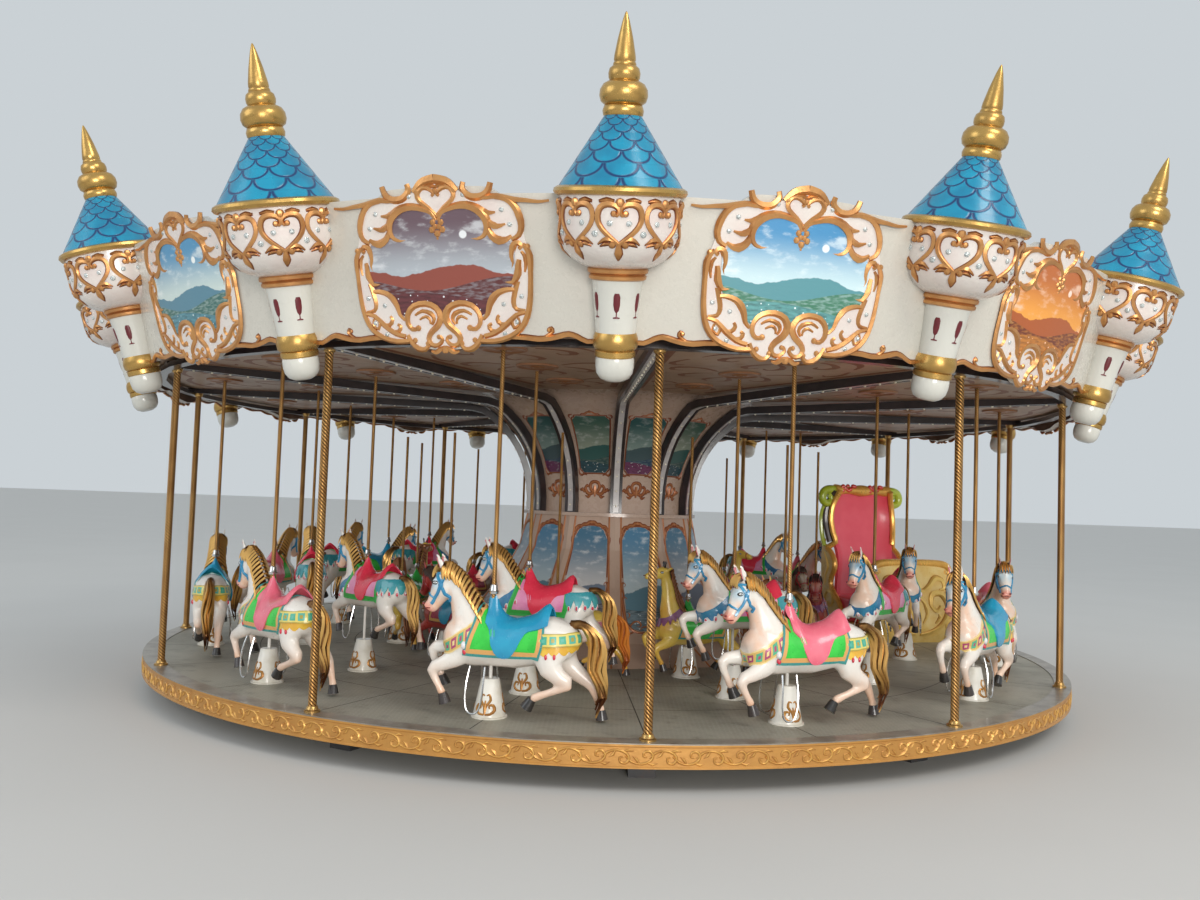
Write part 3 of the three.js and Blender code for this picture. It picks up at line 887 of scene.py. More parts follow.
def picture_paint(name, sky, glow, far, near, field, foot=0.4, height=0.55, sun_place=(0.15, -0.018, 0.83)):
    """A painted view of rolling hills under clouds and a low sun: generic, with no figures."""
    finish = Finish(name, roughness=0.4, coat_weight=0.3, coat_roughness=0.2)
    x, _, z = finish.split(finish.own())
    up = (z - foot) / height
    pale = tuple(mix(channel, 1.0, 0.5) for channel in glow)
    clouds = finish.noise(finish.join(x, 0.0, z * 2.4), 6.0, 6.0, 0.6)
    heaven = finish.blend(up.ease(0.35, 0.95), glow, sky)
    heaven = finish.blend(clouds.ease(0.5, 0.7) * 0.65, heaven, pale)
    if sun_place:
        sun = finish.distance(finish.own(), sun_place)
        heaven = finish.blend(1 - sun.ease(0.018, 0.026), heaven, tuple(mix(c, 1.0, 0.6) for c in glow))
    ridge = (x * 9.0 + 0.6).sine() * 0.05 + finish.noise(finish.join(x, 0.0, 0.0), 7.0, 3.0) * 0.12
    hills = finish.blend((up - ridge).ease(0.36, 0.372), far, heaven)
    slope = (x * 6.5 - 1.1).sine() * 0.07
    brush = finish.noise(finish.join(x * 2.0, 0.0, z * 7.0), 9.0, 4.0)
    shaded = finish.blend(brush.ease(0.4, 0.65), near, tuple(mix(c, g, 0.35) for c, g in zip(near, glow)))
    land = finish.blend((up - slope).ease(0.28, 0.29), shaded, hills)
    meadow = finish.blend(brush.ease(0.35, 0.7), field, tuple(channel * 0.55 for channel in field))
    bloom = finish.cells(finish.own(), 34.0)
    meadow = finish.blend(1 - bloom.ease(0.16, 0.22), meadow, pale)
    rise = (x * 5.0 + 2.3).sine() * 0.06
    finish.set("Base Color", finish.blend((up - rise).ease(0.13, 0.14), meadow, land))
    finish.bump(clouds + brush, 0.0008)
    return finish.material


COAST = picture_paint("picture_noon", (0.06, 0.27, 0.52), (0.60, 0.78, 0.82), (0.10, 0.30, 0.34),
                      (0.05, 0.20, 0.12), (0.12, 0.36, 0.36))
LAKE = picture_paint("picture_morning", (0.08, 0.28, 0.48), (0.62, 0.72, 0.68), (0.10, 0.24, 0.32),
                     (0.04, 0.14, 0.12), (0.10, 0.28, 0.34))
SUNSET = picture_paint("picture_sunset", (0.50, 0.14, 0.03), (0.90, 0.38, 0.06), (0.42, 0.10, 0.02),
                       (0.16, 0.03, 0.01), (0.55, 0.20, 0.03))
DUSK = picture_paint("picture_dusk", (0.13, 0.08, 0.10), (0.42, 0.46, 0.50), (0.26, 0.06, 0.04),
                     (0.10, 0.02, 0.02), (0.13, 0.03, 0.035))
PICTURES = [COAST, SUNSET, LAKE, DUSK, COAST, LAKE, DUSK]    # the order round the boards, twice


def boards():
    """One ring of boards, with its plates, frames, gems and trim, and a picture in each bay."""
    bays = [turn((i + 0.5) * TOWER_ANGLE) for i in range(TOWERS)]
    ring = Piece("boards")
    board = slab(HALF_BAY, BOARD_EDGE, BOARD_TOP, 40, 4, 0.0, -BOARD_THICKNESS)
    ring.add(wrapped(board, on_boards), cream_in_shade_paint, bays)
    mesh = refinish(ring.mesh(), board_back(), faces_axis)
    show(mesh, "rounding_boards_dressed", "turntable", replaces=["rounding_boards"])

    carving = Piece("carving")
    on_plate = (0, -PLATE_THICKNESS, CARTOUCHE_FOOT)
    plate = slab(PLATE_TOP[-1][0], PLATE_EDGE, PLATE_TOP, 32, 2, PLATE_THICKNESS, 0.0)
    carving.add(wrapped(plate, on_boards), drum_paint_in_shade, bays)
    carving.add(wrapped(moved(cartouche(), *on_plate), on_boards), ornament_gold, bays)
    stones = mirrored(gems(CARTOUCHE_GEMS, 0.015))
    carving.add(wrapped(moved(stones, *on_plate), on_boards), gem, bays)
    carving.add(wrapped(trim(), on_boards), ornament_gold, bays)
    show(carving.mesh(), "board_carving", "turntable")

    for i, place in enumerate(bays):
        canvas = Piece("picture")
        canvas.add(slab(PICTURE_TOP[-1][0], PICTURE_EDGE, PICTURE_TOP, 30, 2, 0.018, 0.01),
                   PICTURES[i % len(PICTURES)])
        mesh = bent(canvas.mesh(), on_boards)
        show(mesh, f"picture_{i + 1:02d}", "turntable", place)


# Mounts. A mount heads towards -X with its pole at x = 0. Sections and points are given as
# (distance ahead of the pole, side, height), and heights are those of the outer row.

TRUNK = [(-0.58, 0, 0.8, 0.04, 0.05), (-0.53, 0, 0.8, 0.105, 0.1), (-0.42, 0, 0.8, 0.15, 0.14),
         (-0.3, 0, 0.785, 0.152, 0.148), (-0.15, 0, 0.755, 0.152, 0.146), (0, 0, 0.757, 0.15, 0.15),
         (0.12, 0, 0.757, 0.158, 0.147), (0.21, 0, 0.772, 0.155, 0.134), (0.28, 0, 0.768, 0.115, 0.105),
         (0.315, 0, 0.765, 0.06, 0.055)]
NECK = [(0.1, 0, 0.83, 0.17, 0.12), (0.145, 0, 0.9, 0.14, 0.098), (0.176, 0, 0.965, 0.112, 0.08),
        (0.205, 0, 1.03, 0.092, 0.067), (0.243, 0, 1.1, 0.084, 0.06), (0.295, 0, 1.165, 0.072, 0.056),
        (0.335, 0, 1.2, 0.045, 0.045)]
HEAD = [(0.31, 0, 1.195, 0.047, 0.05), (0.325, 0, 1.155, 0.07, 0.065), (0.343, 0, 1.11, 0.077, 0.066),
        (0.36, 0, 1.07, 0.072, 0.059), (0.383, 0, 1.025, 0.058, 0.047), (0.408, 0, 0.985, 0.049, 0.042),
        (0.425, 0, 0.96, 0.045, 0.043), (0.436, 0, 0.944, 0.03, 0.034)]
GIRAFFE_NECK = [(0.1, 0, 0.83, 0.17, 0.12), (0.165, 0, 0.9, 0.142, 0.1), (0.195, 0, 0.98, 0.112, 0.078),
                (0.205, 0, 1.07, 0.088, 0.062), (0.215, 0, 1.16, 0.074, 0.053), (0.235, 0, 1.25, 0.064,
                                                                                 0.048),
                (0.255, 0, 1.32, 0.05, 0.042)]
GIRAFFE_HEAD = [(0.215, 0, 1.34, 0.04, 0.04), (0.26, 0, 1.338, 0.062, 0.054), (0.32, 0, 1.328, 0.058, 0.05),
                (0.38, 0, 1.31, 0.046, 0.04), (0.435, 0, 1.298, 0.04, 0.038), (0.475, 0, 1.29, 0.024, 0.028)]
GIRAFFE_EAR = [(0.25, 0.04, 1.352, 0.014, 0.01), (0.238, 0.07, 1.372, 0.022, 0.011),
               (0.22, 0.1, 1.388, 0.014, 0.008), (0.21, 0.115, 1.395, 0.004, 0.003)]
GIRAFFE_HORN = [(0.27, 0.018, 1.37, 0.011, 0.011), (0.267, 0.024, 1.41, 0.009, 0.009),
                (0.265, 0.027, 1.435, 0.013, 0.013), (0.264, 0.028, 1.45, 0.006, 0.006)]
EAR = [(0.335, 0.036, 1.215, 0.02, 0.014), (0.35, 0.042, 1.25, 0.022, 0.012),
       (0.366, 0.047, 1.282, 0.016, 0.009), (0.384, 0.05, 1.316, 0.004, 0.003)]
NEAR_FORELEG = [(0.14, -0.065, 0.72, 0.08, 0.06), (0.22, -0.075, 0.655, 0.064, 0.05),
                (0.3, -0.078, 0.615, 0.048, 0.041), (0.352, -0.078, 0.597, 0.041, 0.037),
                (0.37, -0.078, 0.572, 0.036, 0.034), (0.352, -0.078, 0.53, 0.027, 0.027),
                (0.32, -0.078, 0.475, 0.023, 0.023), (0.302, -0.078, 0.445, 0.028, 0.027),
                (0.29, -0.078, 0.425, 0.024, 0.024)]
OFF_FORELEG = [(0.15, 0.065, 0.73, 0.08, 0.06), (0.25, 0.075, 0.705, 0.064, 0.05),
               (0.34, 0.078, 0.705, 0.048, 0.041), (0.405, 0.078, 0.7, 0.041, 0.037),
               (0.43, 0.078, 0.678, 0.036, 0.034), (0.42, 0.078, 0.63, 0.027, 0.027),
               (0.388, 0.078, 0.565, 0.023, 0.023), (0.37, 0.078, 0.532, 0.028, 0.027),
               (0.358, 0.078, 0.51, 0.024, 0.024)]
NEAR_HINDLEG = [(-0.42, -0.06, 0.78, 0.13, 0.08), (-0.4, -0.078, 0.69, 0.108, 0.07),
                (-0.42, -0.085, 0.625, 0.078, 0.056), (-0.475, -0.085, 0.58, 0.054, 0.045),
                (-0.53, -0.085, 0.556, 0.042, 0.037), (-0.533, -0.085, 0.535, 0.036, 0.033),
                (-0.48, -0.085, 0.51, 0.028, 0.027), (-0.39, -0.085, 0.474, 0.024, 0.024),
                (-0.322, -0.085, 0.448, 0.029, 0.028), (-0.3, -0.085, 0.432, 0.025, 0.025)]
OFF_HINDLEG = [(-0.43, 0.06, 0.78, 0.13, 0.08), (-0.45, 0.078, 0.69, 0.1, 0.068),
               (-0.5, 0.085, 0.625, 0.07, 0.054), (-0.575, 0.085, 0.57, 0.052, 0.044),
               (-0.635, 0.085, 0.53, 0.042, 0.037), (-0.658, 0.085, 0.5, 0.036, 0.033),
               (-0.68, 0.085, 0.45, 0.027, 0.027), (-0.7, 0.085, 0.4, 0.024, 0.024),
               (-0.71, 0.085, 0.37, 0.029, 0.028), (-0.714, 0.085, 0.35, 0.025, 0.025)]
HOOVES = [((0.292, -0.078, 0.432), (0.272, -0.078, 0.367)), ((0.36, 0.078, 0.515), (0.335, 0.078, 0.452)),
          ((-0.303, -0.085, 0.436), (-0.266, -0.085, 0.376)), ((-0.713, 0.085, 0.366), (-0.72, 0.085, 0.306))]
SKIN_GRAIN = 0.012                     # size of the grid on which a mount's skin is fused
SKIN_SHARE = 0.13                      # share of the skin's faces that is kept
BARREL = 0.755                         # height of the trunk's middle


def facing(ahead, side, height):
    return Vector((-ahead, side, height))


def limb(sections, sides=12):
    points = [facing(*section[:3]) for section in sections]
    return bar(points, [section[4] for section in sections], [section[3] for section in sections], sides)


def fused(parts):
    """Parts that run through each other, made one smooth skin."""
    shape = bmesh.new()
    for part in parts:
        merge(shape, part)
    lump = bpy.data.objects.new("lump", mesh_of(shape))
    bpy.context.scene.collection.objects.link(lump)
    skin = lump.modifiers.new("skin", "REMESH")
    skin.mode = "VOXEL"
    skin.voxel_size = SKIN_GRAIN
    soften = lump.modifiers.new("soften", "SMOOTH")
    soften.factor = 0.5
    soften.iterations = 5
    thin = lump.modifiers.new("thin", "DECIMATE")
    thin.ratio = SKIN_SHARE
    mesh = bpy.data.meshes.new_from_object(lump.evaluated_get(bpy.context.evaluated_depsgraph_get()))
    bpy.data.objects.remove(lump)
    return mesh


def on_side(sections, side):
    return [(ahead, side * y, height, depth, width) for ahead, y, height, depth, width in sections]


LEGS = (NEAR_FORELEG, OFF_FORELEG, NEAR_HINDLEG, OFF_HINDLEG)


def horse_skin():
    parts = [limb(line) for line in (TRUNK, NECK, HEAD, *LEGS)]
    for side in (-1, 1):
        parts.append(limb(on_side(EAR, side)))
        parts.append(ball(facing(0.33, side * 0.033, 1.075), (0.044, 0.037, 0.05)))
        parts.append(ball(facing(0.383, side * 0.047, 1.135), (0.026, 0.019, 0.02)))
        parts.append(ball(facing(0.445, side * 0.026, 0.976), (0.022, 0.021, 0.022)))
    parts.append(ball(facing(0.412, 0, 0.943), (0.027, 0.03, 0.019)))
    return fused(parts)


def giraffe_skin():
    parts = [limb(line) for line in (TRUNK, GIRAFFE_NECK, GIRAFFE_HEAD, *LEGS)]
    for side in (-1, 1):
        parts.append(limb(on_side(GIRAFFE_EAR, side)))
        parts.append(ball(facing(0.46, side * 0.022, 1.3), (0.02, 0.016, 0.018)))
    return fused(parts)


def on_skin(tree, point, height):
    """The nearest place on the skin, and a little off it."""
    place, normal, _, _ = tree.find_nearest(point)
    return place + normal * height


def strap(shape, tree, points, radius, height=0.0, steps=3):
    line = [on_skin(tree, point, height) for point in curve([facing(*point) for point in points], steps)]
    merge(shape, bar(line, [radius] * len(line), sides=5))


def both_sides(points):
    """A path from one side over the middle to the other, from its near half."""
    return [*points, *[(ahead, -side, height) for ahead, side, height in reversed(points[:-1])]]


def along(line, share):
    """The place at a share of a line's length."""
    lengths = [(b - a).length for a, b in zip(line, line[1:])]
    left = share * sum(lengths)
    for a, b, length in zip(line, line[1:], lengths):
        if left <= length:
            return a.lerp(b, left / length)
        left -= length
    return line[-1]


SCALLOP = 0.45                         # depth of the notches, as a share of a band's width


def band(tree, low, high, columns, rows, height, thick=0.006, scallops=0):
    """A band that lies on the skin between two lines. Its attribute "laid" has (length, width) places."""
    part = grid(columns, rows)
    layer = part.verts.layers.float_vector.new(LAID)
    low = curve([facing(*point) for point in low], 4)
    high = curve([facing(*point) for point in high], 4)
    length = sum((b - a).length for a, b in zip(low, low[1:]))
    for vert in part.verts:
        share, across = (vert.co.x + 1) / 2, (vert.co.y + 1) / 2
        vert[layer] = (share * length, across, 0)
        notch = SCALLOP * (1 - abs(math.sin(math.pi * scallops * share))) if scallops else 0.0
        place = along(low, share).lerp(along(high, share), mix(notch, 1, across))
        vert.co = on_skin(tree, place, height)
    return plated(part, -thick)


BLANKET_FRONT, BLANKET_REAR = 0.07, -0.35
BLANKET_ANGLE = math.radians(118)      # from the spine down to its hem


def blanket(tree):
    """Saddle cloth over the back. Its "laid" places are (length, share of the way down)."""
    part = grid(10, 18)
    layer = part.verts.layers.float_vector.new(LAID)
    for vert in part.verts:
        share, around = (vert.co.x + 1) / 2, vert.co.y
        angle = around * BLANKET_ANGLE
        front = BLANKET_FRONT + 0.08 * abs(around)
        rear = BLANKET_REAR - 0.03 * math.sin(abs(around) * math.pi)
        vert[layer] = (share, abs(around), 0)
        middle = facing(mix(front, rear, share), 0, BARREL)
        out = Vector((0, math.sin(angle), math.cos(angle)))
        place, normal, _, _ = tree.ray_cast(middle + out, -out)
        vert.co = place + normal * 0.004
    return plated(part, -0.007)


SADDLE_RIDGE = [(-0.4, 1.005), (-0.385, 1.035), (-0.35, 1.018), (-0.3, 0.972), (-0.24, 0.937),
                (-0.17, 0.927), (-0.12, 0.932), (-0.08, 0.955), (-0.05, 1.0), (-0.03, 1.055),
                (-0.005, 1.083), (0.02, 1.08), (0.03, 1.04)]
SADDLE_HOLLOW = [(-0.4, 1.3), (-0.3, 1.2), (-0.2, 1.0), (-0.1, 1.3), (-0.05, 1.9), (0.03, 2.3)]
SADDLE_HEM = [(-0.4, 0.9), (-0.33, 0.87), (-0.26, 0.85), (-0.225, 0.79), (-0.2, 0.72), (-0.16, 0.685),
              (-0.12, 0.676), (-0.08, 0.69), (-0.045, 0.74), (-0.03, 0.83), (0.0, 0.87), (0.03, 0.88)]
SADDLE_WIDTH, SADDLE_DROP = 0.167, 0.178
SADDLE_CLEAR = 0.02                    # least height off the skin, so that it covers the cloth


def saddle(tree):
    """Moulded saddle with a tall pommel, a raised cantle and round flaps."""
    part = grid(18, 14)
    for vert in part.verts:
        share, around = (vert.co.x + 1) / 2, vert.co.y
        ahead = mix(SADDLE_RIDGE[0][0], SADDLE_RIDGE[-1][0], share)
        top, hem = track(SADDLE_RIDGE, ahead), track(SADDLE_HEM, ahead)
        hollow = track(SADDLE_HOLLOW, ahead)
        if hem > BARREL:
            reach = math.acos(((hem - BARREL) / (top - BARREL)) ** (1 / hollow))
        else:
            reach = math.acos((hem - BARREL) / SADDLE_DROP)
        angle = abs(around) * reach
        if angle < math.pi / 2:
            wide = SADDLE_WIDTH * math.sin(angle) ** hollow
            height = BARREL + (top - BARREL) * math.cos(angle) ** hollow
        else:
            wide = SADDLE_WIDTH * math.sin(angle)
            height = BARREL + SADDLE_DROP * math.cos(angle)
        vert.co = facing(ahead, math.copysign(wide, around), height)
        place, normal, _, _ = tree.find_nearest(vert.co)
        if (vert.co - place).dot(normal) < SADDLE_CLEAR:
            vert.co = place + normal * SADDLE_CLEAR
    bmesh.ops.remove_doubles(part, verts=part.verts, dist=1e-5)
    plated(part, 0.012)
    bmesh.ops.smooth_vert(part, verts=part.verts, factor=0.3, use_axis_x=True, use_axis_y=True,
                          use_axis_z=True)
    return part


CREST = [(0.05, 0.97), (0.08, 1.03), (0.12, 1.085), (0.165, 1.145), (0.215, 1.2), (0.29, 1.25),
         (0.345, 1.252)]               # (ahead, height) up a horse's neck
GIRAFFE_CREST = [(0.05, 0.98), (0.085, 1.04), (0.112, 1.12), (0.13, 1.2), (0.155, 1.29), (0.19, 1.37)]
LOCKS = 14                             # on each side of the neck
LOCK_FALL = 0.1
LOCK_RADIUS, FORELOCK_RADIUS, TAIL_LOCK_RADIUS = 0.0135, 0.0105, 0.0175
HAIR_DEPTH, TAIL_DEPTH = 0.021, 0.058  # the hair's ground is this deep below its curls, and its painted shade fades out over this distance


def lock(points, radius, steps=2):
    """One curl of hair, thick in the middle and thin at its tip."""
    line = curve(points, steps)
    radii = taper(len(line), radius * 0.8, radius, radius * 0.3)
    return bar(line, [0.8 * size for size in radii], radii, 4)


def deep(part, distance, full):
    """Marks how deep each vertex lies, for the hair's painted shade: 1 on what is below it and 0 at the full
    distance above that.
    """
    layer = part.verts.layers.float.new(EDGE)
    for vert in part.verts:
        vert[layer] = 1 - min(1.0, distance(vert.co) / full)
    return part


def mane(tree, crest, fall=LOCK_FALL):
    """Curls laid side by side from the crest down both sides, on a ground band that painted shade makes dark.
    """
    hair = bmesh.new()
    reach = (crest[0][0], crest[-1][0])
    for side in (-1, 1):
        for i in range(LOCKS):
            ahead = mix(*reach, (i + 0.5) / LOCKS)
            height = track(crest, ahead)
            sway = 0.007 * math.sin(i * 2.4)
            points = [facing(ahead, -side * 0.006, height + 0.004),
                      facing(ahead, side * 0.016, height + 0.006)]
            for share, back in ((0.35, 0.002), (0.7, 0.012), (1.0, 0.022)):
                low = facing(ahead - back + sway * share, side * 0.12, height - fall * share)
                points.append(on_skin(tree, low, 0.009).lerp(low, 0.1))
            merge(hair, lock(points, LOCK_RADIUS))
        low = [(ahead, side * 0.1, height - 0.85 * fall) for ahead, height in crest]
        high = [(ahead, side * 0.01, height) for ahead, height in crest]
        merge(hair, band(tree, low, high, 12, 4, 0.005))
    return deep(hair, lambda place: tree.find_nearest(place)[3], HAIR_DEPTH)


def forelock(tree):
    """Curls that fall over the forehead between the ears."""
    hair = bmesh.new()
    for side in (-1.6, -0.8, 0, 0.8, 1.6):
        merge(hair, lock([facing(*point) for point in (
            (0.31, side * 0.014, 1.25), (0.355, side * 0.02, 1.247), (0.388, side * 0.026, 1.218),
            (0.402, side * 0.03, 1.18), (0.4, side * 0.034, 1.16))], FORELOCK_RADIUS))
    # painted shade: the curls darken towards the skin
    return deep(hair, lambda place: tree.find_nearest(place)[3], HAIR_DEPTH)


TAIL = [(-0.52, 0, 0.9), (-0.6, 0, 0.9), (-0.672, 0, 0.83), (-0.7, 0, 0.73), (-0.695, 0, 0.63),
        (-0.72, 0, 0.54), (-0.735, 0, 0.46), (-0.7, 0, 0.38)]
TAIL_LOCKS = 8


def tail():
    """Wavy locks round one falling line."""
    hair = bmesh.new()
    for i in range(TAIL_LOCKS):
        angle = i * math.tau / TAIL_LOCKS
        points = []
        for step, (ahead, _, height) in enumerate(TAIL):
            swell = (0.043 + 0.007 * (i % 2)) * math.sin(math.pi * (step + 0.6) / len(TAIL))
            wave = angle + 0.45 * math.sin(step * 1.5 + i * 0.4)
            end = 0.05 * math.sin(i * 1.9) if step == len(TAIL) - 1 else 0
            points.append(facing(ahead + swell * math.cos(wave), 0.85 * swell * math.sin(wave), height + end))
        merge(hair, lock(points, TAIL_LOCK_RADIUS))
    core = [facing(*point) for point in TAIL[:-1]]
    merge(hair, bar(curve(core, 3), [0.03] * (3 * len(core) - 2), sides=8))
    middle = curve([facing(*point) for point in TAIL], 2)
    # painted shade: the locks darken towards the tail's middle line, and its core is dark
    return deep(hair, lambda place: min((place - point).length for point in middle) * 0.9, TAIL_DEPTH)


def eye(tree, side, place=(0.378, 1.127)):
    """Almond of an eye with its dark lids, iris and pupil: (part, finish) pairs."""
    middle = on_skin(tree, facing(place[0], side * 0.1, place[1]), -0.004)
    sizes = ((0.023, 0.008, 0.0145), (0.018, 0.0095, 0.0105), (0.0088, 0.0108, 0.0088),
             (0.0045, 0.0122, 0.0045))
    return [(ball(middle, radii), finish)
            for radii, finish in zip(sizes, (EYE_DARK, EYE_WHITE, EYE_BLUE, EYE_DARK))]


def hoof(top, bottom):
    points = [facing(*top), facing(*top).lerp(facing(*bottom), 0.5), facing(*bottom)]
    return bar(points, [0.027, 0.033, 0.038], [0.029, 0.036, 0.042], 10)


POLE_RADIUS = 0.015
POLE_TOP = 2.72
ROD_BOTTOM = 0.246


def coat(name, color, shade, muzzle, face):
    """Sprayed gloss coat: a colour with a shade blown over legs and throat, a muzzle and a tinted face."""
    finish = Finish(name, coat_weight=0.45, coat_roughness=0.15)
    place = finish.own()
    x, y, z = finish.split(place)
    mist = finish.noise(place, 7.0, 3.0)
    legs = 1 - (z + mist * 0.12).ease(0.48, 0.74)
    throat = (0 - x).ease(0.18, 0.3) * (1 - z.ease(0.95, 1.12)) * z.ease(0.72, 0.84)
    blown = (legs * 0.75 + throat * 0.7 + mist.ease(0.5, 0.75) * 0.35).least(1.0)
    nose = finish.distance(place, (-0.45, 0.0, 0.955))
    cheek = finish.distance(finish.join(x, abs(y), z), (-0.39, 0.05, 1.13))
    color_map = finish.blend(blown, color, shade)
    color_map = finish.blend((1 - (cheek + mist * 0.03).ease(0.03, 0.1)) * 0.8, color_map, face)
    lines = ((x * 0.45 + z * 0.12 + mist * 0.02) * 130.0).sine().ease(0.4, 1.0)
    front = (0 - x).ease(0.14, 0.24) * z.ease(0.8, 0.9) * (1 - z.ease(1.05, 1.12))
    color_map = finish.blend(lines * front * 0.45, color_map, shade)
    finish.set("Base Color", finish.blend(1 - nose.ease(0.035, 0.08), color_map, muzzle))
    grime = finish.noise(place, 35.0, 4.0)
    finish.set("Roughness", grime * 0.2 + 0.2)
    finish.bump(finish.noise(place, 90.0, 2.0) + mist, 0.0006)
    return finish.material


def hair_paint(name, bright, dark, metallic=0.8):
    """Paint on carved hair, with painted shade in the hollows between the curls."""
    finish = Finish(name, metallic=metallic)
    place = finish.own()
    strands = finish.noise(place, 60.0, 3.0)
    # painted shade: the hollows and the ground below the curls take the dark colour
    hollow = finish.attribute(EDGE) + strands * 0.15
    finish.set("Base Color", finish.blend(hollow.ease(0.25, 0.7), bright, dark))
    finish.set("Roughness", strands * 0.2 + 0.24)
    finish.bump(strands, 0.0008)
    return finish.material


CLOTH_BORDER, CLOTH_EDGE = 0.84, 0.94   # where they start, as shares of the way out from its middle


def cloth_paint(name, color, shade, border, edge):
    """Painted saddle cloth: a field, a bright border and a thin edge line."""
    finish = Finish(name, coat_weight=0.4, coat_roughness=0.15)
    share, down, _ = finish.laid()
    place = finish.own()
    field = finish.blend(finish.noise(place, 8.0, 3.0).ease(0.35, 0.65), color, shade)
    reach = (abs(share - 0.5) * 2).most(down)
    bordered = finish.blend(reach > CLOTH_BORDER, field, border)
    finish.set("Base Color", finish.blend(reach > CLOTH_EDGE, bordered, edge))
    finish.set("Roughness", finish.noise(place, 40.0) * 0.2 + 0.2)
    finish.bump(finish.noise(place, 120.0) * 0.3 + (reach > CLOTH_BORDER) * 1.0, 0.0012)
    return finish.material


BAND_STEP = 0.062                      # from one square of a harness band to the next


def band_paint(name, ground, square_a, square_b, line):
    """Painted harness band: squares of two colours between edge lines."""
    finish = Finish(name, coat_weight=0.4, coat_roughness=0.15)
    length, across, _ = finish.laid()
    place = finish.own()
    step = length / BAND_STEP
    within = step % 1.0
    inside = ((within > 0.14) * (within < 0.86)) * ((across > 0.2) * (across < 0.8))
    core = ((within > 0.34) * (within < 0.66)) * ((across > 0.36) * (across < 0.64))
    other = ((step / 2) % 1.0) > 0.5
    pane = finish.blend(other, square_a, square_b)
    centre = finish.blend(other, square_b, line)
    color = finish.blend(inside, ground, finish.blend(core, pane, centre))
    hem = 1 - (across > 0.08) * (across < 0.92)
    finish.set("Base Color", finish.blend(hem, color, line))
    finish.set("Roughness", finish.noise(place, 40.0) * 0.2 + 0.2)
    finish.bump(inside * 0.5 + core * 0.5, 0.002)
    return finish.material


def plain_paint(name, color, shade, roughness=0.25, metallic=0.0, coat_weight=0.5):
    """Gloss paint with soft clouds of a second shade."""
    finish = Finish(name, metallic=metallic, coat_weight=coat_weight, coat_roughness=0.12)
    place = finish.own()
    clouds = finish.noise(place, 7.0, 4.0)
    finish.set("Base Color", finish.blend(clouds.ease(0.35, 0.7), color, shade))
    finish.set("Roughness", finish.noise(place, 50.0, 3.0) * 0.2 + (roughness - 0.1))
    finish.bump(clouds, 0.0008)
    return finish.material


def twisted_brass(name, strands, spacing, depth):
    """Brass pole twisted like a rope, as a bump, with painted shade in the grooves between its strands. Its
    strands pass a point of it every `spacing`.
    """
    finish = Finish(name, metallic=0.85)
    place = finish.own()
    x, y, z = finish.split(place)
    around = finish.math("ARCTAN2", y, x) * (strands / 2)
    twist = abs((around + z * (math.pi / spacing)).sine())
    patches = finish.noise(place, 5.0, 4.0)
    brass = finish.blend(patches.ease(0.3, 0.7), (0.66, 0.38, 0.13), (0.44, 0.22, 0.07))
    # painted shade: the grooves of the twist take a near-black brown
    finish.set("Base Color", finish.blend(twist.ease(0.1, 0.75), (0.10, 0.04, 0.015), brass))
    finish.set("Roughness", patches * 0.2 + 0.22)
    finish.bump(twist, depth)
    return finish.material


PEACH, CORAL, FACE_BLUE = (0.82, 0.50, 0.33), (0.78, 0.30, 0.22), (0.50, 0.68, 0.78)
MASKED_COAT = coat("masked_coat", (0.80, 0.76, 0.70), PEACH, CORAL, (0.13, 0.36, 0.55))
WHITE_COAT = coat("white_coat", (0.80, 0.76, 0.70), PEACH, CORAL, FACE_BLUE)
YELLOW_COAT = coat("yellow_coat", (0.78, 0.55, 0.10), (0.72, 0.36, 0.05), (0.70, 0.38, 0.12),
                   (0.85, 0.70, 0.30))
RED_COAT = coat("red_coat", (0.42, 0.03, 0.02), (0.25, 0.015, 0.012), (0.50, 0.16, 0.10), (0.60, 0.30, 0.22))
BROWN_COAT = coat("brown_coat", (0.34, 0.22, 0.13), (0.16, 0.07, 0.03), (0.45, 0.30, 0.2), (0.40, 0.32, 0.25))
# the dark colour of each hair paint is its painted shade in the hollows
GOLD_HAIR = hair_paint("gold_hair", (0.72, 0.42, 0.13), (0.10, 0.03, 0.01))
BROWN_HAIR = hair_paint("brown_hair", (0.30, 0.12, 0.05), (0.06, 0.02, 0.01), 0.3)
DARK_HAIR = hair_paint("dark_hair", (0.07, 0.045, 0.035), (0.012, 0.008, 0.008), 0.1)
ORANGE_HAIR = hair_paint("orange_hair", (0.75, 0.24, 0.03), (0.30, 0.06, 0.01), 0.2)
DARK_HOOF = plain_paint("dark_hoof", (0.015, 0.013, 0.012), (0.04, 0.03, 0.028), 0.3)
EYE_WHITE = plain_paint("eye_white", (0.85, 0.84, 0.8), (0.7, 0.7, 0.68), 0.15)
EYE_BLUE = plain_paint("eye_blue", (0.08, 0.20, 0.28), (0.12, 0.28, 0.34), 0.12)
EYE_DARK = plain_paint("eye_dark", (0.01, 0.01, 0.012), (0.03, 0.02, 0.02), 0.12)
EAR_PINK = plain_paint("ear_pink", (0.72, 0.25, 0.25), (0.6, 0.15, 0.17), 0.3)
BRIDLE_BLUE = plain_paint("bridle_blue", (0.02, 0.20, 0.40), (0.05, 0.32, 0.52), 0.22)
BRIDLE_RED = plain_paint("bridle_red", (0.32, 0.02, 0.03), (0.45, 0.05, 0.05), 0.22)
NOSTRIL = plain_paint("nostril", (0.16, 0.012, 0.012), (0.28, 0.02, 0.02), 0.3)
SADDLE_BLUE = plain_paint("saddle_blue", (0.015, 0.26, 0.46), (0.02, 0.33, 0.52), 0.24)
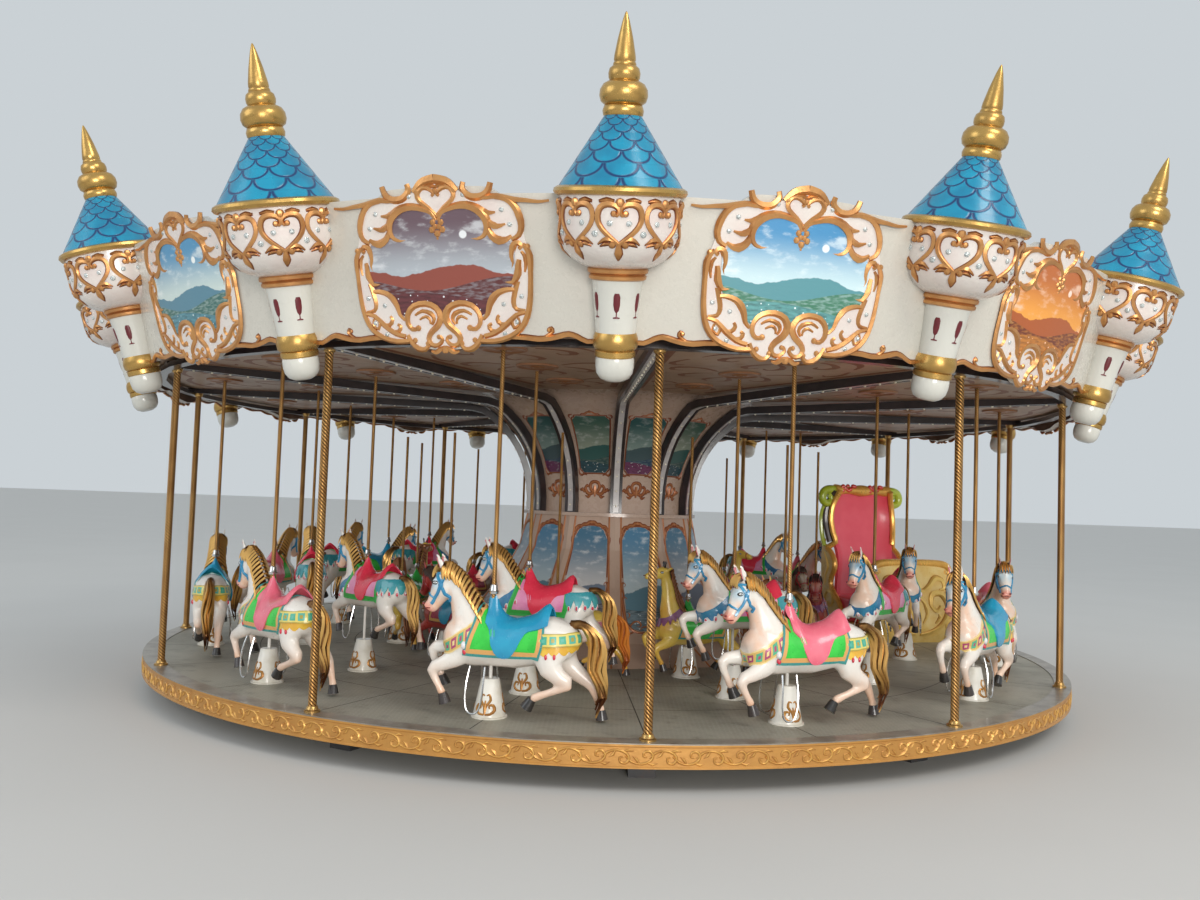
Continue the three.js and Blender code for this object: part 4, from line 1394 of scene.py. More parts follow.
SADDLE_PINK = plain_paint("saddle_pink", (0.80, 0.13, 0.20), (0.84, 0.20, 0.26), 0.24)
SADDLE_RED = plain_paint("saddle_red", (0.72, 0.03, 0.07), (0.78, 0.05, 0.09), 0.24)
SADDLE_GREEN = plain_paint("saddle_green", (0.03, 0.42, 0.06), (0.05, 0.50, 0.10), 0.24)
DROP_RED = plain_paint("drop_red", (0.60, 0.02, 0.05), (0.70, 0.06, 0.10), 0.15)
DROP_WHITE = plain_paint("drop_white", (0.82, 0.80, 0.80), (0.70, 0.68, 0.70), 0.2)
FRINGE = plain_paint("fringe", (0.82, 0.52, 0.06), (0.72, 0.38, 0.04), 0.25)
COLLAR_BLUE = plain_paint("collar_blue", (0.03, 0.15, 0.32), (0.04, 0.24, 0.40), 0.25)
RUMP_TEAL = plain_paint("rump_teal", (0.04, 0.28, 0.34), (0.06, 0.38, 0.40), 0.25)
RUFF_PURPLE = plain_paint("ruff_purple", (0.20, 0.05, 0.16), (0.30, 0.12, 0.24), 0.3)
ROD_WHITE = plain_paint("rod_white", (0.80, 0.78, 0.73), (0.70, 0.66, 0.6), 0.3)
SILVER = plain_paint("silver", (0.75, 0.75, 0.74), (0.6, 0.6, 0.6), 0.25, 1.0, 0.0)
MOUNT_BRASS = twisted_brass("mount_brass", 4, 0.017, 0.003)
GREEN_CLOTH = cloth_paint("green_cloth", (0.02, 0.48, 0.04), (0.04, 0.60, 0.06), (0.72, 0.38, 0.12),
                          (0.04, 0.28, 0.26))
PINK_CLOTH = cloth_paint("pink_cloth", (0.72, 0.22, 0.42), (0.78, 0.32, 0.50), (0.03, 0.36, 0.05),
                         (0.04, 0.42, 0.08))
MAROON_CLOTH = cloth_paint("maroon_cloth", (0.30, 0.02, 0.05), (0.40, 0.04, 0.08), (0.62, 0.36, 0.10),
                           (0.2, 0.02, 0.03))
GOLD_BAND = band_paint("gold_band_paint", (0.70, 0.46, 0.14), (0.08, 0.42, 0.24), (0.42, 0.06, 0.16),
                       (0.85, 0.66, 0.30))
YELLOW_BAND = band_paint("yellow_band_paint", (0.74, 0.62, 0.16), (0.06, 0.40, 0.26), (0.10, 0.44, 0.34),
                         (0.45, 0.34, 0.05))

CHEST_LOW = [(0.03, -0.16, 0.81), (0.12, -0.16, 0.76), (0.22, -0.14, 0.7), (0.29, -0.08, 0.68),
             (0.32, 0, 0.67)]
CHEST_HIGH = [(0.06, -0.14, 0.94), (0.13, -0.13, 0.88), (0.22, -0.11, 0.8), (0.28, -0.06, 0.76),
              (0.3, 0, 0.75)]
RUMP_LOW = [(-0.35, -0.16, 0.765), (-0.42, -0.15, 0.77), (-0.5, -0.11, 0.775), (-0.56, -0.05, 0.78),
            (-0.58, 0, 0.78)]
RUMP_HIGH = [(-0.35, -0.14, 0.85), (-0.42, -0.14, 0.855), (-0.5, -0.1, 0.855), (-0.55, -0.05, 0.86),
             (-0.57, 0, 0.86)]
RUFF_LOW = [(0.07, -0.1, 0.92), (0.14, -0.1, 0.86), (0.22, -0.09, 0.82), (0.28, -0.05, 0.8), (0.3, 0, 0.79)]
RUFF_HIGH = [(0.08, -0.08, 1.02), (0.15, -0.08, 0.96), (0.22, -0.07, 0.91), (0.26, -0.04, 0.88),
             (0.275, 0, 0.87)]


def lowered(points, drop):
    return [(ahead, side, height - drop) for ahead, side, height in points]


def drops(mount, tree, points, count):
    """White-edged red drops that hang at regular places from a line round the body."""
    line = curve([facing(*point) for point in both_sides(points)], 4)
    for i in range(count):
        place = along(line, (i + 0.5) / count)
        mount.add(ball(on_skin(tree, place, 0.0), (0.019, 0.019, 0.03), 7, 4), DROP_WHITE)
        mount.add(ball(on_skin(tree, place, 0.006), (0.0125, 0.0165, 0.021), 7, 4), DROP_RED)


def square_harness(mount, tree):
    """Bands of squares round chest and rump, with a fringe and hanging drops."""
    mount.add(band(tree, both_sides(CHEST_LOW), both_sides(CHEST_HIGH), 28, 3, 0.005), GOLD_BAND)
    mount.add(band(tree, both_sides(RUMP_LOW), both_sides(RUMP_HIGH), 24, 2, 0.005), YELLOW_BAND)
    mount.add(band(tree, lowered(both_sides(RUMP_LOW), 0.055), both_sides(RUMP_LOW), 45, 2, 0.003, 0.005, 9),
              FRINGE)
    for side in (-1, 1):
        for ahead, height, size in ((0.15, 0.74, 0.02), (0.145, 0.695, 0.017)):
            place = on_skin(tree, facing(ahead, side * 0.2, height), 0.002)
            mount.add(ball(place, (size, size * 0.8, size * 1.3)), DROP_RED if size < 0.02 else DROP_WHITE)
        for ahead in (-0.4, -0.47):
            place = on_skin(tree, facing(ahead, side * 0.2, 0.712), 0.002)
            mount.add(ball(place, (0.01, 0.01, 0.018)), DROP_RED)


def drop_harness(mount, tree):
    """Blue collar and teal rump cover, both with drops along their edge."""
    mount.add(band(tree, both_sides(CHEST_LOW), both_sides(CHEST_HIGH), 48, 3, 0.005, 0.007, 8), COLLAR_BLUE)
    mount.add(band(tree, lowered(both_sides(RUMP_LOW), 0.01), lowered(both_sides(RUMP_HIGH), -0.06), 48, 3,
                   0.005,
                   0.007, 8), RUMP_TEAL)
    drops(mount, tree, lowered(CHEST_LOW, -0.006), 9)
    drops(mount, tree, lowered(RUMP_LOW, 0.006), 9)


def ruff_harness(mount, tree):
    """Ruff round the foot of the neck and a plain rump band."""
    mount.add(band(tree, both_sides(RUFF_LOW), both_sides(RUFF_HIGH), 60, 2, 0.008, 0.014, 12), RUFF_PURPLE)
    mount.add(band(tree, both_sides(RUMP_LOW), both_sides(RUMP_HIGH), 20, 2, 0.005), MAROON_CLOTH)


def bridle(tree):
    """Two straps that cross on each cheek, with a brow band and a nose band."""
    straps = bmesh.new()
    strap(straps, tree, both_sides([(0.38, -0.06, 1.02), (0.4, -0.06, 1.03), (0.44, -0.03, 1.05),
                                    (0.45, 0, 1.06)]),
          0.008)
    strap(straps, tree, both_sides([(0.34, -0.07, 1.19), (0.37, -0.06, 1.2), (0.4, -0.03, 1.2),
                                    (0.405, 0, 1.2)]),
          0.01)
    for side in (-1, 1):
        strap(straps, tree, [(0.39, side * 0.03, 1.2), (0.355, side * 0.08, 1.145),
                             (0.325, side * 0.09, 1.09),
                             (0.295, side * 0.08, 1.04), (0.28, side * 0.03, 1.01)], 0.0115, 0.002)
        strap(straps, tree, [(0.3, side * 0.06, 1.2), (0.33, side * 0.08, 1.14), (0.36, side * 0.08, 1.07),
                             (0.385, side * 0.07, 1.02), (0.405, side * 0.06, 0.985)], 0.0115, 0.002)
        merge(straps, ball(on_skin(tree, facing(0.34, side * 0.1, 1.115), 0.004), (0.018, 0.01, 0.018)))
    return straps


def stirrups():
    """Chrome foot rests on both sides of the belly."""
    hoops = bmesh.new()
    for side in (-1, 1):
        line = curve([facing(ahead, side * y, z) for ahead, y, z in
                      ((0.0, 0.12, 0.62), (0.0, 0.15, 0.5), (0.01, 0.155, 0.4), (0.03, 0.155, 0.345),
                       (0.065, 0.155, 0.33), (0.1, 0.155, 0.35), (0.115, 0.155, 0.42), (0.11, 0.15, 0.52),
                       (0.1, 0.12, 0.62))], 2)
        merge(hoops, bar(line, [0.006] * len(line), sides=5))
    return hoops


def horse_head(mount, tree, hair, straps):
    mount.add(mane(tree, CREST), hair)
    mount.add(forelock(tree), hair)
    for side in (-1, 1):
        for part, finish in eye(tree, side):
            mount.add(part, finish)
        mount.add(ball(facing(0.4665, side * 0.03, 0.985), (0.009, 0.01, 0.008)), NOSTRIL)
        mount.add(limb([(0.345, side * 0.037, 1.225, 0.016, 0.005),
                        (0.358, side * 0.042, 1.255, 0.016, 0.005),
                        (0.376, side * 0.046, 1.288, 0.01, 0.004)], 8), EAR_PINK)
        mouth = [on_skin(tree, facing(ahead, side * y, height), 0.0)
                 for ahead, y, height in ((0.47, 0.0, 0.957), (0.45, 0.04, 0.953), (0.415, 0.06, 0.957))]
        mount.add(bar(curve(mouth, 3), [0.004] * 7, sides=5), NOSTRIL)
    mount.add(bridle(tree), straps)


def giraffe_head(mount, tree, hair, straps):
    mount.add(mane(tree, GIRAFFE_CREST, 0.06), hair)
    for side in (-1, 1):
        for part, finish in eye(tree, side, (0.31, 1.345)):
            mount.add(part, finish)
        mount.add(ball(facing(0.478, side * 0.02, 1.303), (0.007, 0.008, 0.006)), NOSTRIL)
        mount.add(limb(on_side(GIRAFFE_HORN, side), 8), DARK_HOOF)
    band_line = bmesh.new()
    strap(band_line, tree, both_sides([(0.4, -0.03, 1.25), (0.4, -0.07, 1.31), (0.4, -0.03, 1.37),
                                       (0.4, 0, 1.38)]),
          0.008)
    mount.add(band_line, straps)


def mount_mesh(skin, head, coat_paint, hair, saddle_paint, cloth, straps, harness):
    """A whole mount at its outer-row size, with pole, rod and harness."""
    mount = Piece("mount")
    shape = bmesh.new()
    shape.from_mesh(skin)
    tree = BVHTree.FromBMesh(shape)
    shape.free()
    mount.add(skin, coat_paint)
    head(mount, tree, hair, straps)
    mount.add(tail(), hair)
    for top, bottom in HOOVES:
        mount.add(hoof(top, bottom), DARK_HOOF)
    mount.add(blanket(tree), cloth)
    mount.add(saddle(tree), saddle_paint)
    harness(mount, tree)
    mount.add(stirrups(), SILVER)
    mount.add(lathe([(POLE_RADIUS * 0.8, ROD_BOTTOM), (POLE_RADIUS * 0.8, 0.7)], 10), ROD_WHITE)
    mount.add(lathe([(POLE_RADIUS, 1.0), (POLE_RADIUS, POLE_TOP)], 10), MOUNT_BRASS)
    mount.add(lathe([(0.03, 1.07), (0.034, 1.085), (0.026, 1.095), (0.024, 1.12), (0.017, 1.13)], 14), SILVER)
    return mount.mesh(math.radians(50))


HORSE = (horse_skin(), horse_head)
GIRAFFE = (giraffe_skin(), giraffe_head)
BLUE_HORSE = mount_mesh(*HORSE, WHITE_COAT, GOLD_HAIR, SADDLE_BLUE, GREEN_CLOTH, BRIDLE_BLUE, square_harness)
PINK_HORSE = mount_mesh(*HORSE, WHITE_COAT, GOLD_HAIR, SADDLE_PINK, GREEN_CLOTH, BRIDLE_BLUE, square_harness)
RED_HORSE = mount_mesh(*HORSE, MASKED_COAT, GOLD_HAIR, SADDLE_RED, PINK_CLOTH, BRIDLE_BLUE, drop_harness)
TAWNY_MOUNT = mount_mesh(*HORSE, YELLOW_COAT, BROWN_HAIR, SADDLE_GREEN, MAROON_CLOTH, BRIDLE_RED,
                         ruff_harness)
YELLOW_MOUNT = mount_mesh(*HORSE, YELLOW_COAT, ORANGE_HAIR, SADDLE_GREEN, PINK_CLOTH, BRIDLE_RED,
                          ruff_harness)
RED_MOUNT = mount_mesh(*HORSE, RED_COAT, DARK_HAIR, SADDLE_BLUE, MAROON_CLOTH, BRIDLE_RED, ruff_harness)
BROWN_MOUNT = mount_mesh(*HORSE, BROWN_COAT, DARK_HAIR, SADDLE_RED, MAROON_CLOTH, BRIDLE_RED, ruff_harness)
TALL_MOUNT = mount_mesh(*GIRAFFE, YELLOW_COAT, BROWN_HAIR, SADDLE_GREEN, GREEN_CLOTH, BRIDLE_RED,
                        ruff_harness)
LOOKS = {"outer": 6 * [PINK_HORSE, BLUE_HORSE], "middle": 12 * [RED_HORSE],
         "inner": [*2 * [TALL_MOUNT, TAWNY_MOUNT, RED_MOUNT, BROWN_MOUNT],
                   TALL_MOUNT, TAWNY_MOUNT, RED_MOUNT, YELLOW_MOUNT]}

# Each row's radius, the size of its mounts, and how high they stand at rest
ROWS = {"outer": (3.72, 1.0, 0.0), "middle": (2.9, 0.87, LIFT), "inner": (2.06, 0.8, 0.0)}


def stands():
    """(node, row, number in the row, place of its pole at z = 0) of every mount."""
    found = []
    for node in sorted(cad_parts):
        if "_mount_" in node:
            row, bay = node.split("_mount_")
            found.append((node, row, bay, BAY_TURNS[int(bay) - 1] @ shift(0, -ROWS[row][0], 0)))
    return found


def mounts():
    for node, row, bay, place in stands():
        _, scale, raise_by = ROWS[row]
        place = place @ shift(0, 0, DECK_TOP + raise_by) @ Matrix.Scale(scale, 4) @ shift(0, 0, -DECK_TOP)
        show(LOOKS[row][int(bay) - 1], node + "_dressed", node, place, [node])


# Chariot, at its place on the mount ring: it heads towards -X, and its outer side faces -Y

CHARIOT_BAY, CHARIOT_RADIUS = 3, 3.31
CHARIOT_SIDE, WING = 0.47, 0.05        # half width over the side wings, and a wing's thickness
BACK_LINE = [(0.41, 0.47), (0.8, 0.49), (1.1, 0.53), (1.3, 0.58), (1.5, 0.625), (1.65, 0.64),
             (1.8, 0.615), (1.9, 0.57)]          # (height, x)
BACK_WIDTH = [(0.41, 0.42), (0.8, 0.4), (1.05, 0.365), (1.15, 0.36), (1.25, 0.372), (1.4, 0.4),
              (1.55, 0.415), (1.7, 0.4), (1.8, 0.37), (1.9, 0.335)]


def smoothed(points):
    """More points on the curve through the given (x, y) ones."""
    return [(point.x, point.y) for point in curve([(*point, 0) for point in points], 3)]


# Edges of the side wings and of the front, as (height, x)
REAR_EDGE = smoothed([(DECK_TOP, 0.23), (0.5, 0.23), (0.6, 0.26), (0.68, 0.34), (0.76, 0.43), (0.84, 0.46),
                      (0.92, 0.44), (0.98, 0.4), (1.05, 0.385), (1.13, 0.42), (1.2, 0.5), (1.25, 0.585)])
REAR_FAR = [(DECK_TOP, 0.62), (1.1, 0.64), (1.25, 0.63)]
FRONT_EDGE = smoothed([(DECK_TOP, -0.17), (0.52, -0.17), (0.6, -0.21), (0.67, -0.29), (0.75, -0.35),
                       (0.86, -0.375), (1.0, -0.355), (1.08, -0.375)])
FRONT_LINE = smoothed([(DECK_TOP, -0.5), (0.42, -0.572), (0.6, -0.58), (0.72, -0.552), (0.85, -0.5),
                       (1.0, -0.452), (1.13, -0.43)])
BACK_FRONT = smoothed(BACK_LINE)
BACK_HALF = smoothed(BACK_WIDTH)


def wing(edge, far):
    """A side wing between its open edge and its far edge, with y = 0 on its outer face."""
    part = grid(8, 32)
    for vert in part.verts:
        height = mix(DECK_TOP, edge[-1][0], (vert.co.y + 1) / 2)
        vert.co = (mix(track(edge, height), track(far, height), (vert.co.x + 1) / 2), 0, height)
    return raised(part, (0, WING, 0))


def upright_panel(line, width, depth, thick):
    """A panel across the chariot: its middle follows the line, and its ends come towards -X by the depth."""
    part = grid(16, 28)
    for vert in part.verts:
        across, height = vert.co.x, mix(line[0][0], line[-1][0], (vert.co.y + 1) / 2)
        vert.co = (track(line, height) - depth * across ** 4, across * track(width, height), height)
    return raised(part, (thick, 0, 0))


def on_front(point):
    return Vector((track(FRONT_LINE, point.z) + point.y, -point.x, point.z))


def front_scrolls():
    """Carved scrolls of the front, flat at y = 0."""
    gold = bmesh.new()
    carved(gold, [(0.03, 0.38), (0.13, 0.4), (0.25, 0.46), (0.34, 0.57), (0.37, 0.7), (0.31, 0.81),
                  (0.2, 0.8),
                  (0.16, 0.7), (0.22, 0.63), (0.28, 0.68)], (0.02, 0.042, 0.018), steps=4)
    carved(gold, [(0.0, 0.88), (0.09, 0.84), (0.18, 0.89), (0.27, 0.97), (0.36, 0.95), (0.37, 0.87),
                  (0.31, 0.85)], (0.016, 0.034, 0.014), steps=4)
    carved(gold, [(0.41, 0.35), (0.42, 0.46), (0.39, 0.54), (0.34, 0.49), (0.36, 0.43)], (0.014, 0.03, 0.012))
    carved(gold, [(0.2, 0.5), (0.26, 0.56), (0.24, 0.6)], (0.01, 0.026, 0.008))
    carved(gold, [(0.05, 0.5), (0.1, 0.6), (0.08, 0.71), (0.03, 0.76)], (0.01, 0.03, 0.01))
    carved(gold, [(0.36, 0.8), (0.41, 0.84), (0.41, 0.92)], (0.01, 0.024, 0.008))
    mirrored(gold)
    carved(gold, [(0.0, 0.46), (0.0, 0.58), (0.0, 0.7)], (0.01, 0.03, 0.014))
    bead(gold, 0.0, 0.8, 0.032, 0.9)
    return gold


def wing_scrolls():
    """Carved scrolls on the outer side of both wings, flat at y = 0."""
    gold = bmesh.new()
    carved(gold, [(0.27, 0.36), (0.38, 0.39), (0.5, 0.48), (0.55, 0.62), (0.5, 0.74), (0.4, 0.72),
                  (0.37, 0.63),
                  (0.43, 0.57), (0.48, 0.62)], (0.012, 0.026, 0.012), steps=4)
    carved(gold, [(0.55, 0.8), (0.54, 0.92), (0.49, 1.02), (0.54, 1.12), (0.58, 1.18)], (0.01, 0.022, 0.01))
    carved(gold, [(-0.22, 0.35), (-0.34, 0.38), (-0.46, 0.47), (-0.52, 0.6), (-0.46, 0.71), (-0.38, 0.66),
                  (-0.4, 0.57), (-0.45, 0.58)], (0.012, 0.026, 0.012), steps=4)
    carved(gold, [(-0.47, 0.79), (-0.43, 0.88), (-0.42, 0.98)], (0.008, 0.018, 0.008))
    for x in (-0.05, 0.03, 0.11):
        carved(gold, [(x - 0.04, 0.34), (x, 0.36), (x + 0.04, 0.38)], (0.008, 0.014, 0.006))
    return gold


def curl(side):
    """The spiral at one end of the top rail."""
    points = [(0.57, side * y, z) for y, z in
              ((0.34, 1.905), (0.42, 1.91), (0.485, 1.89), (0.515, 1.83), (0.5, 1.77), (0.44, 1.745),
               (0.395, 1.785), (0.405, 1.835), (0.445, 1.84))]
    line = curve(points, 4)
    return bar(line, taper(len(line), 0.05, 0.045, 0.03), sides=10, side=ACROSS)


def blossom(height):
    """A cluster of red buds on the top rail."""
    buds = bmesh.new()
    for i in range(15):
        place = (0.54 + 0.03 * math.cos(i * 2.1), 0.1 * math.sin(i * 1.9), height + 0.028 * math.cos(i * 2.9))
        merge(buds, ball(place, (0.026, 0.028, 0.025), 8, 6))
    return buds


def chariot_half():
    """Parts of the outer half, each with its finish."""
    outside = -CHARIOT_SIDE
    rear, front = wing(REAR_EDGE, REAR_FAR), wing(FRONT_EDGE, FRONT_LINE)
    scrolls = wing_scrolls()
    for part in (rear, front, scrolls):
        moved(part, 0, outside, 0)
    back_edge = [(track(BACK_FRONT, z) - 0.1, -track(BACK_HALF, z), z)
                 for z in (1.9, 1.8, 1.7, 1.55, 1.4, 1.3)]
    wing_edge = [(x, outside + 0.025, z) for z, x in reversed(REAR_EDGE[:-1])]
    moulding = curve([*back_edge, *wing_edge[::2]], 2)
    shell = [point + Vector((0.07, -0.03, 0)) for point in curve(back_edge, 3)]
    front_edge = curve([(x, outside + 0.025, z) for z, x in FRONT_EDGE[::2]], 2)
    stem = curve([(0.6, -0.455, 1.76), (0.65, -0.475, 1.6), (0.64, -0.47, 1.4), (0.6, -0.455, 1.25)], 3)
    pairs = [(rear, CHARIOT_YELLOW), (front, CHARIOT_YELLOW), (scrolls, CHARIOT_SCROLL)]
    for line, radius, finish in ((moulding, 0.032, CHARIOT_GOLD), (shell, 0.036, CHARIOT_DARK),
                                 (front_edge, 0.028, CHARIOT_GOLD), (stem, 0.026, CHARIOT_GREEN)):
        pairs.append((bar(line, [radius] * len(line), sides=8), finish))
    return pairs


def front_roll():
    """Gilt roll on top of the front, with a scroll at each end."""
    half = [(-0.395, 0.0, 1.125), (-0.4, 0.2, 1.125), (-0.41, 0.36, 1.12), (-0.42, 0.44, 1.1),
            (-0.42, 0.475, 1.05), (-0.42, 0.45, 1.005), (-0.42, 0.41, 1.02), (-0.42, 0.42, 1.055)]
    line = curve(half, 4)
    part = bar(line, taper(len(line), 0.045, 0.042, 0.025), sides=10, side=ACROSS)
    merge(part, flipped(part))
    return part


def chariot():
    seat = Piece("chariot")
    for flip in (False, True):
        for part, finish in chariot_half():
            seat.add(flipped(part) if flip else part, finish)
        seat.add(curl(1 if flip else -1), CHARIOT_GREEN)
    seat.add(upright_panel(BACK_FRONT, BACK_HALF, 0.09, 0.06), CHARIOT_ROSE)
    seat.add(upright_panel(FRONT_LINE, [(DECK_TOP, 0.445), (1.13, 0.445)], 0.0, 0.06), CHARIOT_YELLOW)
    seat.add(wrapped(front_scrolls(), on_front), CHARIOT_SCROLL)
    seat.add(front_roll(), CHARIOT_GOLD)
    rail = curve([(0.56, y, 1.905) for y in (-0.36, -0.18, 0, 0.18, 0.36)], 6)
    seat.add(bar(rail, [0.055 + 0.012 * math.cos(i * math.tau / 12) for i in range(len(rail))], sides=12,
                 side=ACROSS), CHARIOT_GOLD)
    for y in (-0.18, 0.18):
        seat.add(blossom(1.925), CHARIOT_RED, [shift(0, y, 0)])
    seat.add(box((0.08, -0.42, 0.43), (0.5, 0.42, 0.7), 0.04, 4), CHARIOT_ROSE)
    seat.add(box((-0.5, -0.42, 0.43), (-0.175, 0.42, 0.64), 0.04, 4), CHARIOT_ROSE)
    seat.add(box((-0.48, -0.43, DECK_TOP), (0.54, 0.43, 0.43), 0.012), CHARIOT_YELLOW)
    mesh = refinish(seat.mesh(), CHARIOT_ROSE, lambda face: face.material_index == 0
                    and abs(face.center.y) < CHARIOT_SIDE - 0.03 and abs(face.normal.y) > 0.9
                    and face.center.z > 0.43)
    place = BAY_TURNS[CHARIOT_BAY] @ shift(0, -CHARIOT_RADIUS, 0)
    show(mesh, "chariot_dressed", "turntable", place, ["chariot"])


# Deck, its rim and the poles at its edge

RIM_RADIUS = 4.243
RIM_MODULES = 96
RIM_MIDDLE = 0.217                     # height halfway up the rim, about which the scroll turns over
RIM_STEP = math.tau * RIM_RADIUS / RIM_MODULES
EDGE_POLE_RING, EDGE_POLE_RADIUS = 4.16, 0.027
EDGE_POLE_TOP = 2.64


def rim_scroll():
    """One length of the running leaf scroll on the rim."""
    gold = bmesh.new()
    stem = [(-0.14, 0.222), (-0.1, 0.188), (-0.045, 0.178), (0.005, 0.196), (0.02, 0.228), (0.0, 0.252),
            (-0.03, 0.246), (-0.034, 0.222), (-0.014, 0.218)]
    leaves = ([(-0.06, 0.182), (-0.075, 0.205), (-0.098, 0.222)],
              [(-0.012, 0.186), (0.02, 0.176), (0.05, 0.184)],
              [(0.018, 0.228), (0.035, 0.243), (0.058, 0.247)])
    for flip in (False, True):
        for points, radii, steps in ((stem, (0.006, 0.0105, 0.006), 2),
                                     *((leaf, (0.006, 0.01, 0.002), 1) for leaf in leaves)):
            if flip:
                points = [(x + RIM_STEP / 2, 2 * RIM_MIDDLE - z) for x, z in points]
            carved(gold, points, radii, 0.9, steps)
    return gold


def on_rim(point):
    return round_axis(point.x / RIM_RADIUS, RIM_RADIUS - point.y, point.z)


def rim():
    leafed = Piece("rim")
    leafed.add(hoop([(4.226, 0.15), (4.249, 0.15), (4.249, 0.158), (RIM_RADIUS, 0.164), (RIM_RADIUS, 0.272),
                   (4.249, 0.278), (4.249, 0.2885), (4.226, 0.2885)], 192), RIM_GROUND)
    leafed.add(wrapped(rim_scroll(), on_rim), RIM_GOLD,
               [turn(i * math.tau / RIM_MODULES) for i in range(RIM_MODULES)])
    show(leafed.mesh(), "rim_band_dressed", "turntable", replaces=["rim_band"])


def edge_poles():
    strip_ring = Piece("edge_strip")
    strip_ring.add(hoop([(4.118, DECK_TOP), (4.2485, DECK_TOP), (4.2485, 0.295), (4.118, 0.295)], 192),
                   EDGE_STRIP)
    show(strip_ring.mesh(), "edge_poles_dressed", "turntable", replaces=["edge_poles"])
    pole = Piece("pole")
    pole.add(lathe([(EDGE_POLE_RADIUS, DECK_TOP), (EDGE_POLE_RADIUS, EDGE_POLE_TOP)], 20), EDGE_BRASS)
    foot = [(0.052, 0.294), (0.052, 0.306), (0.04, 0.312), (0.034, 0.33), (0.03, 0.334)]
    cap = [(0.03, 2.585), (0.038, 2.592), (0.04, 2.615), (0.05, 2.625), (0.05, 2.64)]
    for collar in (foot, cap):
        pole.add(lathe(collar, 20), POLE_COLLAR)
    mesh = pole.mesh()
    for i, place in enumerate(RIB_TURNS):
        show(mesh, f"edge_pole_{i + 1:02d}", "turntable", place @ shift(0, -EDGE_POLE_RING, 0))


PEDESTAL_FOOT, PEDESTAL_MIDDLE, PEDESTAL_NECK = 0.106, 0.083, 0.06    # radii of its cone
PEDESTAL = [(0.118, 0.0), (0.118, 0.008), (PEDESTAL_FOOT, 0.012), (PEDESTAL_NECK, 0.238), (0.056, 0.244),
            (0.02, 0.244), (0.02, 0.238), (0.098, 0.004)]


def on_pedestal(point):
    reach = mix(PEDESTAL_FOOT, PEDESTAL_NECK, (point.z - 0.012) / 0.226) - point.y
    return round_axis(point.x / PEDESTAL_MIDDLE, reach, point.z)


def pedestal_scroll():
    gold = bmesh.new()
    carved(gold, [(0.003, 0.03), (0.03, 0.033), (0.055, 0.056), (0.047, 0.086), (0.024, 0.084),
                  (0.027, 0.065)],
           (0.006, 0.0105, 0.004), 0.5)
    carved(gold, [(0.002, 0.06), (0.012, 0.09), (0.032, 0.118), (0.024, 0.15), (0.006, 0.144)],
           (0.005, 0.0095, 0.004), 0.5)
    mirrored(gold)
    carved(gold, [(0.0, 0.03), (0.0, 0.07), (0.0, 0.115)], (0.004, 0.011, 0.004), 0.5)
    return wrapped(gold, on_pedestal)


def pedestals():
    """A turned cover over the plain pedestal below each mount."""
    cover = Piece("pedestal")
    cover.add(hoop(PEDESTAL, 18), PEDESTAL_WHITE)
    cover.add(pedestal_scroll(), PEDESTAL_GOLD, [turn(i * math.tau / 3) for i in range(3)])
    mesh = cover.mesh()
    for _, row, bay, place in stands():
        show(mesh, f"pedestal_{row}_{bay}", "turntable", place @ shift(0, 0, DECK_TOP))


# Column. Its panels are flat in (x across, z up along the panel) for a bay of REFERENCE half width, and
# are then bent onto the twelve-sided column.

REFERENCE = 0.28
HALF_ANGLE = BAY_ANGLE / 2
RIB_FOOT, RIB_TOP, RIB_END = (0.841, 1.572), (1.363, 2.564), (4.25, 2.628)
COVE_KNOTS = (RIB_FOOT, (0.816, 2.052), (1.033, 2.374), RIB_TOP)
COVE_BEHIND = 0.068                    # from a rib's front back to the cove
SKIRT_LINE = [(1.74, 0.2893), (1.44, 0.45), (1.08, 0.9), (0.905, 1.23), (0.841, 1.54)]
CEILING = 2.665


def cove_line(steps, behind):
    """Points (radius, height) up the ribs' curve, or up a line behind it."""
    a, b, c, d = (Vector(knot) for knot in COVE_KNOTS)
    line = []
    for i in range(steps + 1):
        t = i / steps
        point = a * (1 - t) ** 3 + 3 * b * t * (1 - t) ** 2 + 3 * c * t ** 2 * (1 - t) + d * t ** 3
        slope = ((b - a) * (1 - t) ** 2 + 2 * (c - b) * t * (1 - t) + (d - c) * t ** 2).normalized()
        line.append(point - behind * Vector((slope.y, -slope.x)))
    return line


def run_length(line):
    """The distance along an outline of (radius, height)."""
    return sum((Vector(after) - Vector(before)).length for before, after in zip(line, line[1:]))


def on_line(line, panels=True):
    """Bends what is flat onto an outline of (radius, height): onto one of the twelve panels between
    its corners, or else onto the outline itself, as at a rib."""
    line = [Vector(point) for point in line]
    starts = [run_length(line[:i + 1]) for i in range(len(line))]
    radii = [(start, point.x) for start, point in zip(starts, line)]
    heights = [(start, point.y) for start, point in zip(starts, line)]

    def wrap(point):
        radius, height = track(radii, point.z), track(heights, point.z)
        slope = Vector((track(radii, point.z + 0.02) - track(radii, point.z - 0.02),
                        track(heights, point.z + 0.02) - track(heights, point.z - 0.02))).normalized()
        reach, across = radius, point.x
        if panels:
            reach, across = radius * math.cos(HALF_ANGLE), point.x * radius * math.sin(HALF_ANGLE) / REFERENCE
        return Vector((across, point.y * slope.y - reach, height + point.y * slope.x))
    return wrap


RIB_LINE = [*cove_line(24, 0), RIB_END]
COVE_LINE = [*cove_line(40, COVE_BEHIND), (1.4, 2.654), (1.475, 2.664)]
on_cove = on_line(COVE_LINE)
on_skirt = on_line(SKIRT_LINE)
on_rib = on_line(RIB_LINE, panels=False)

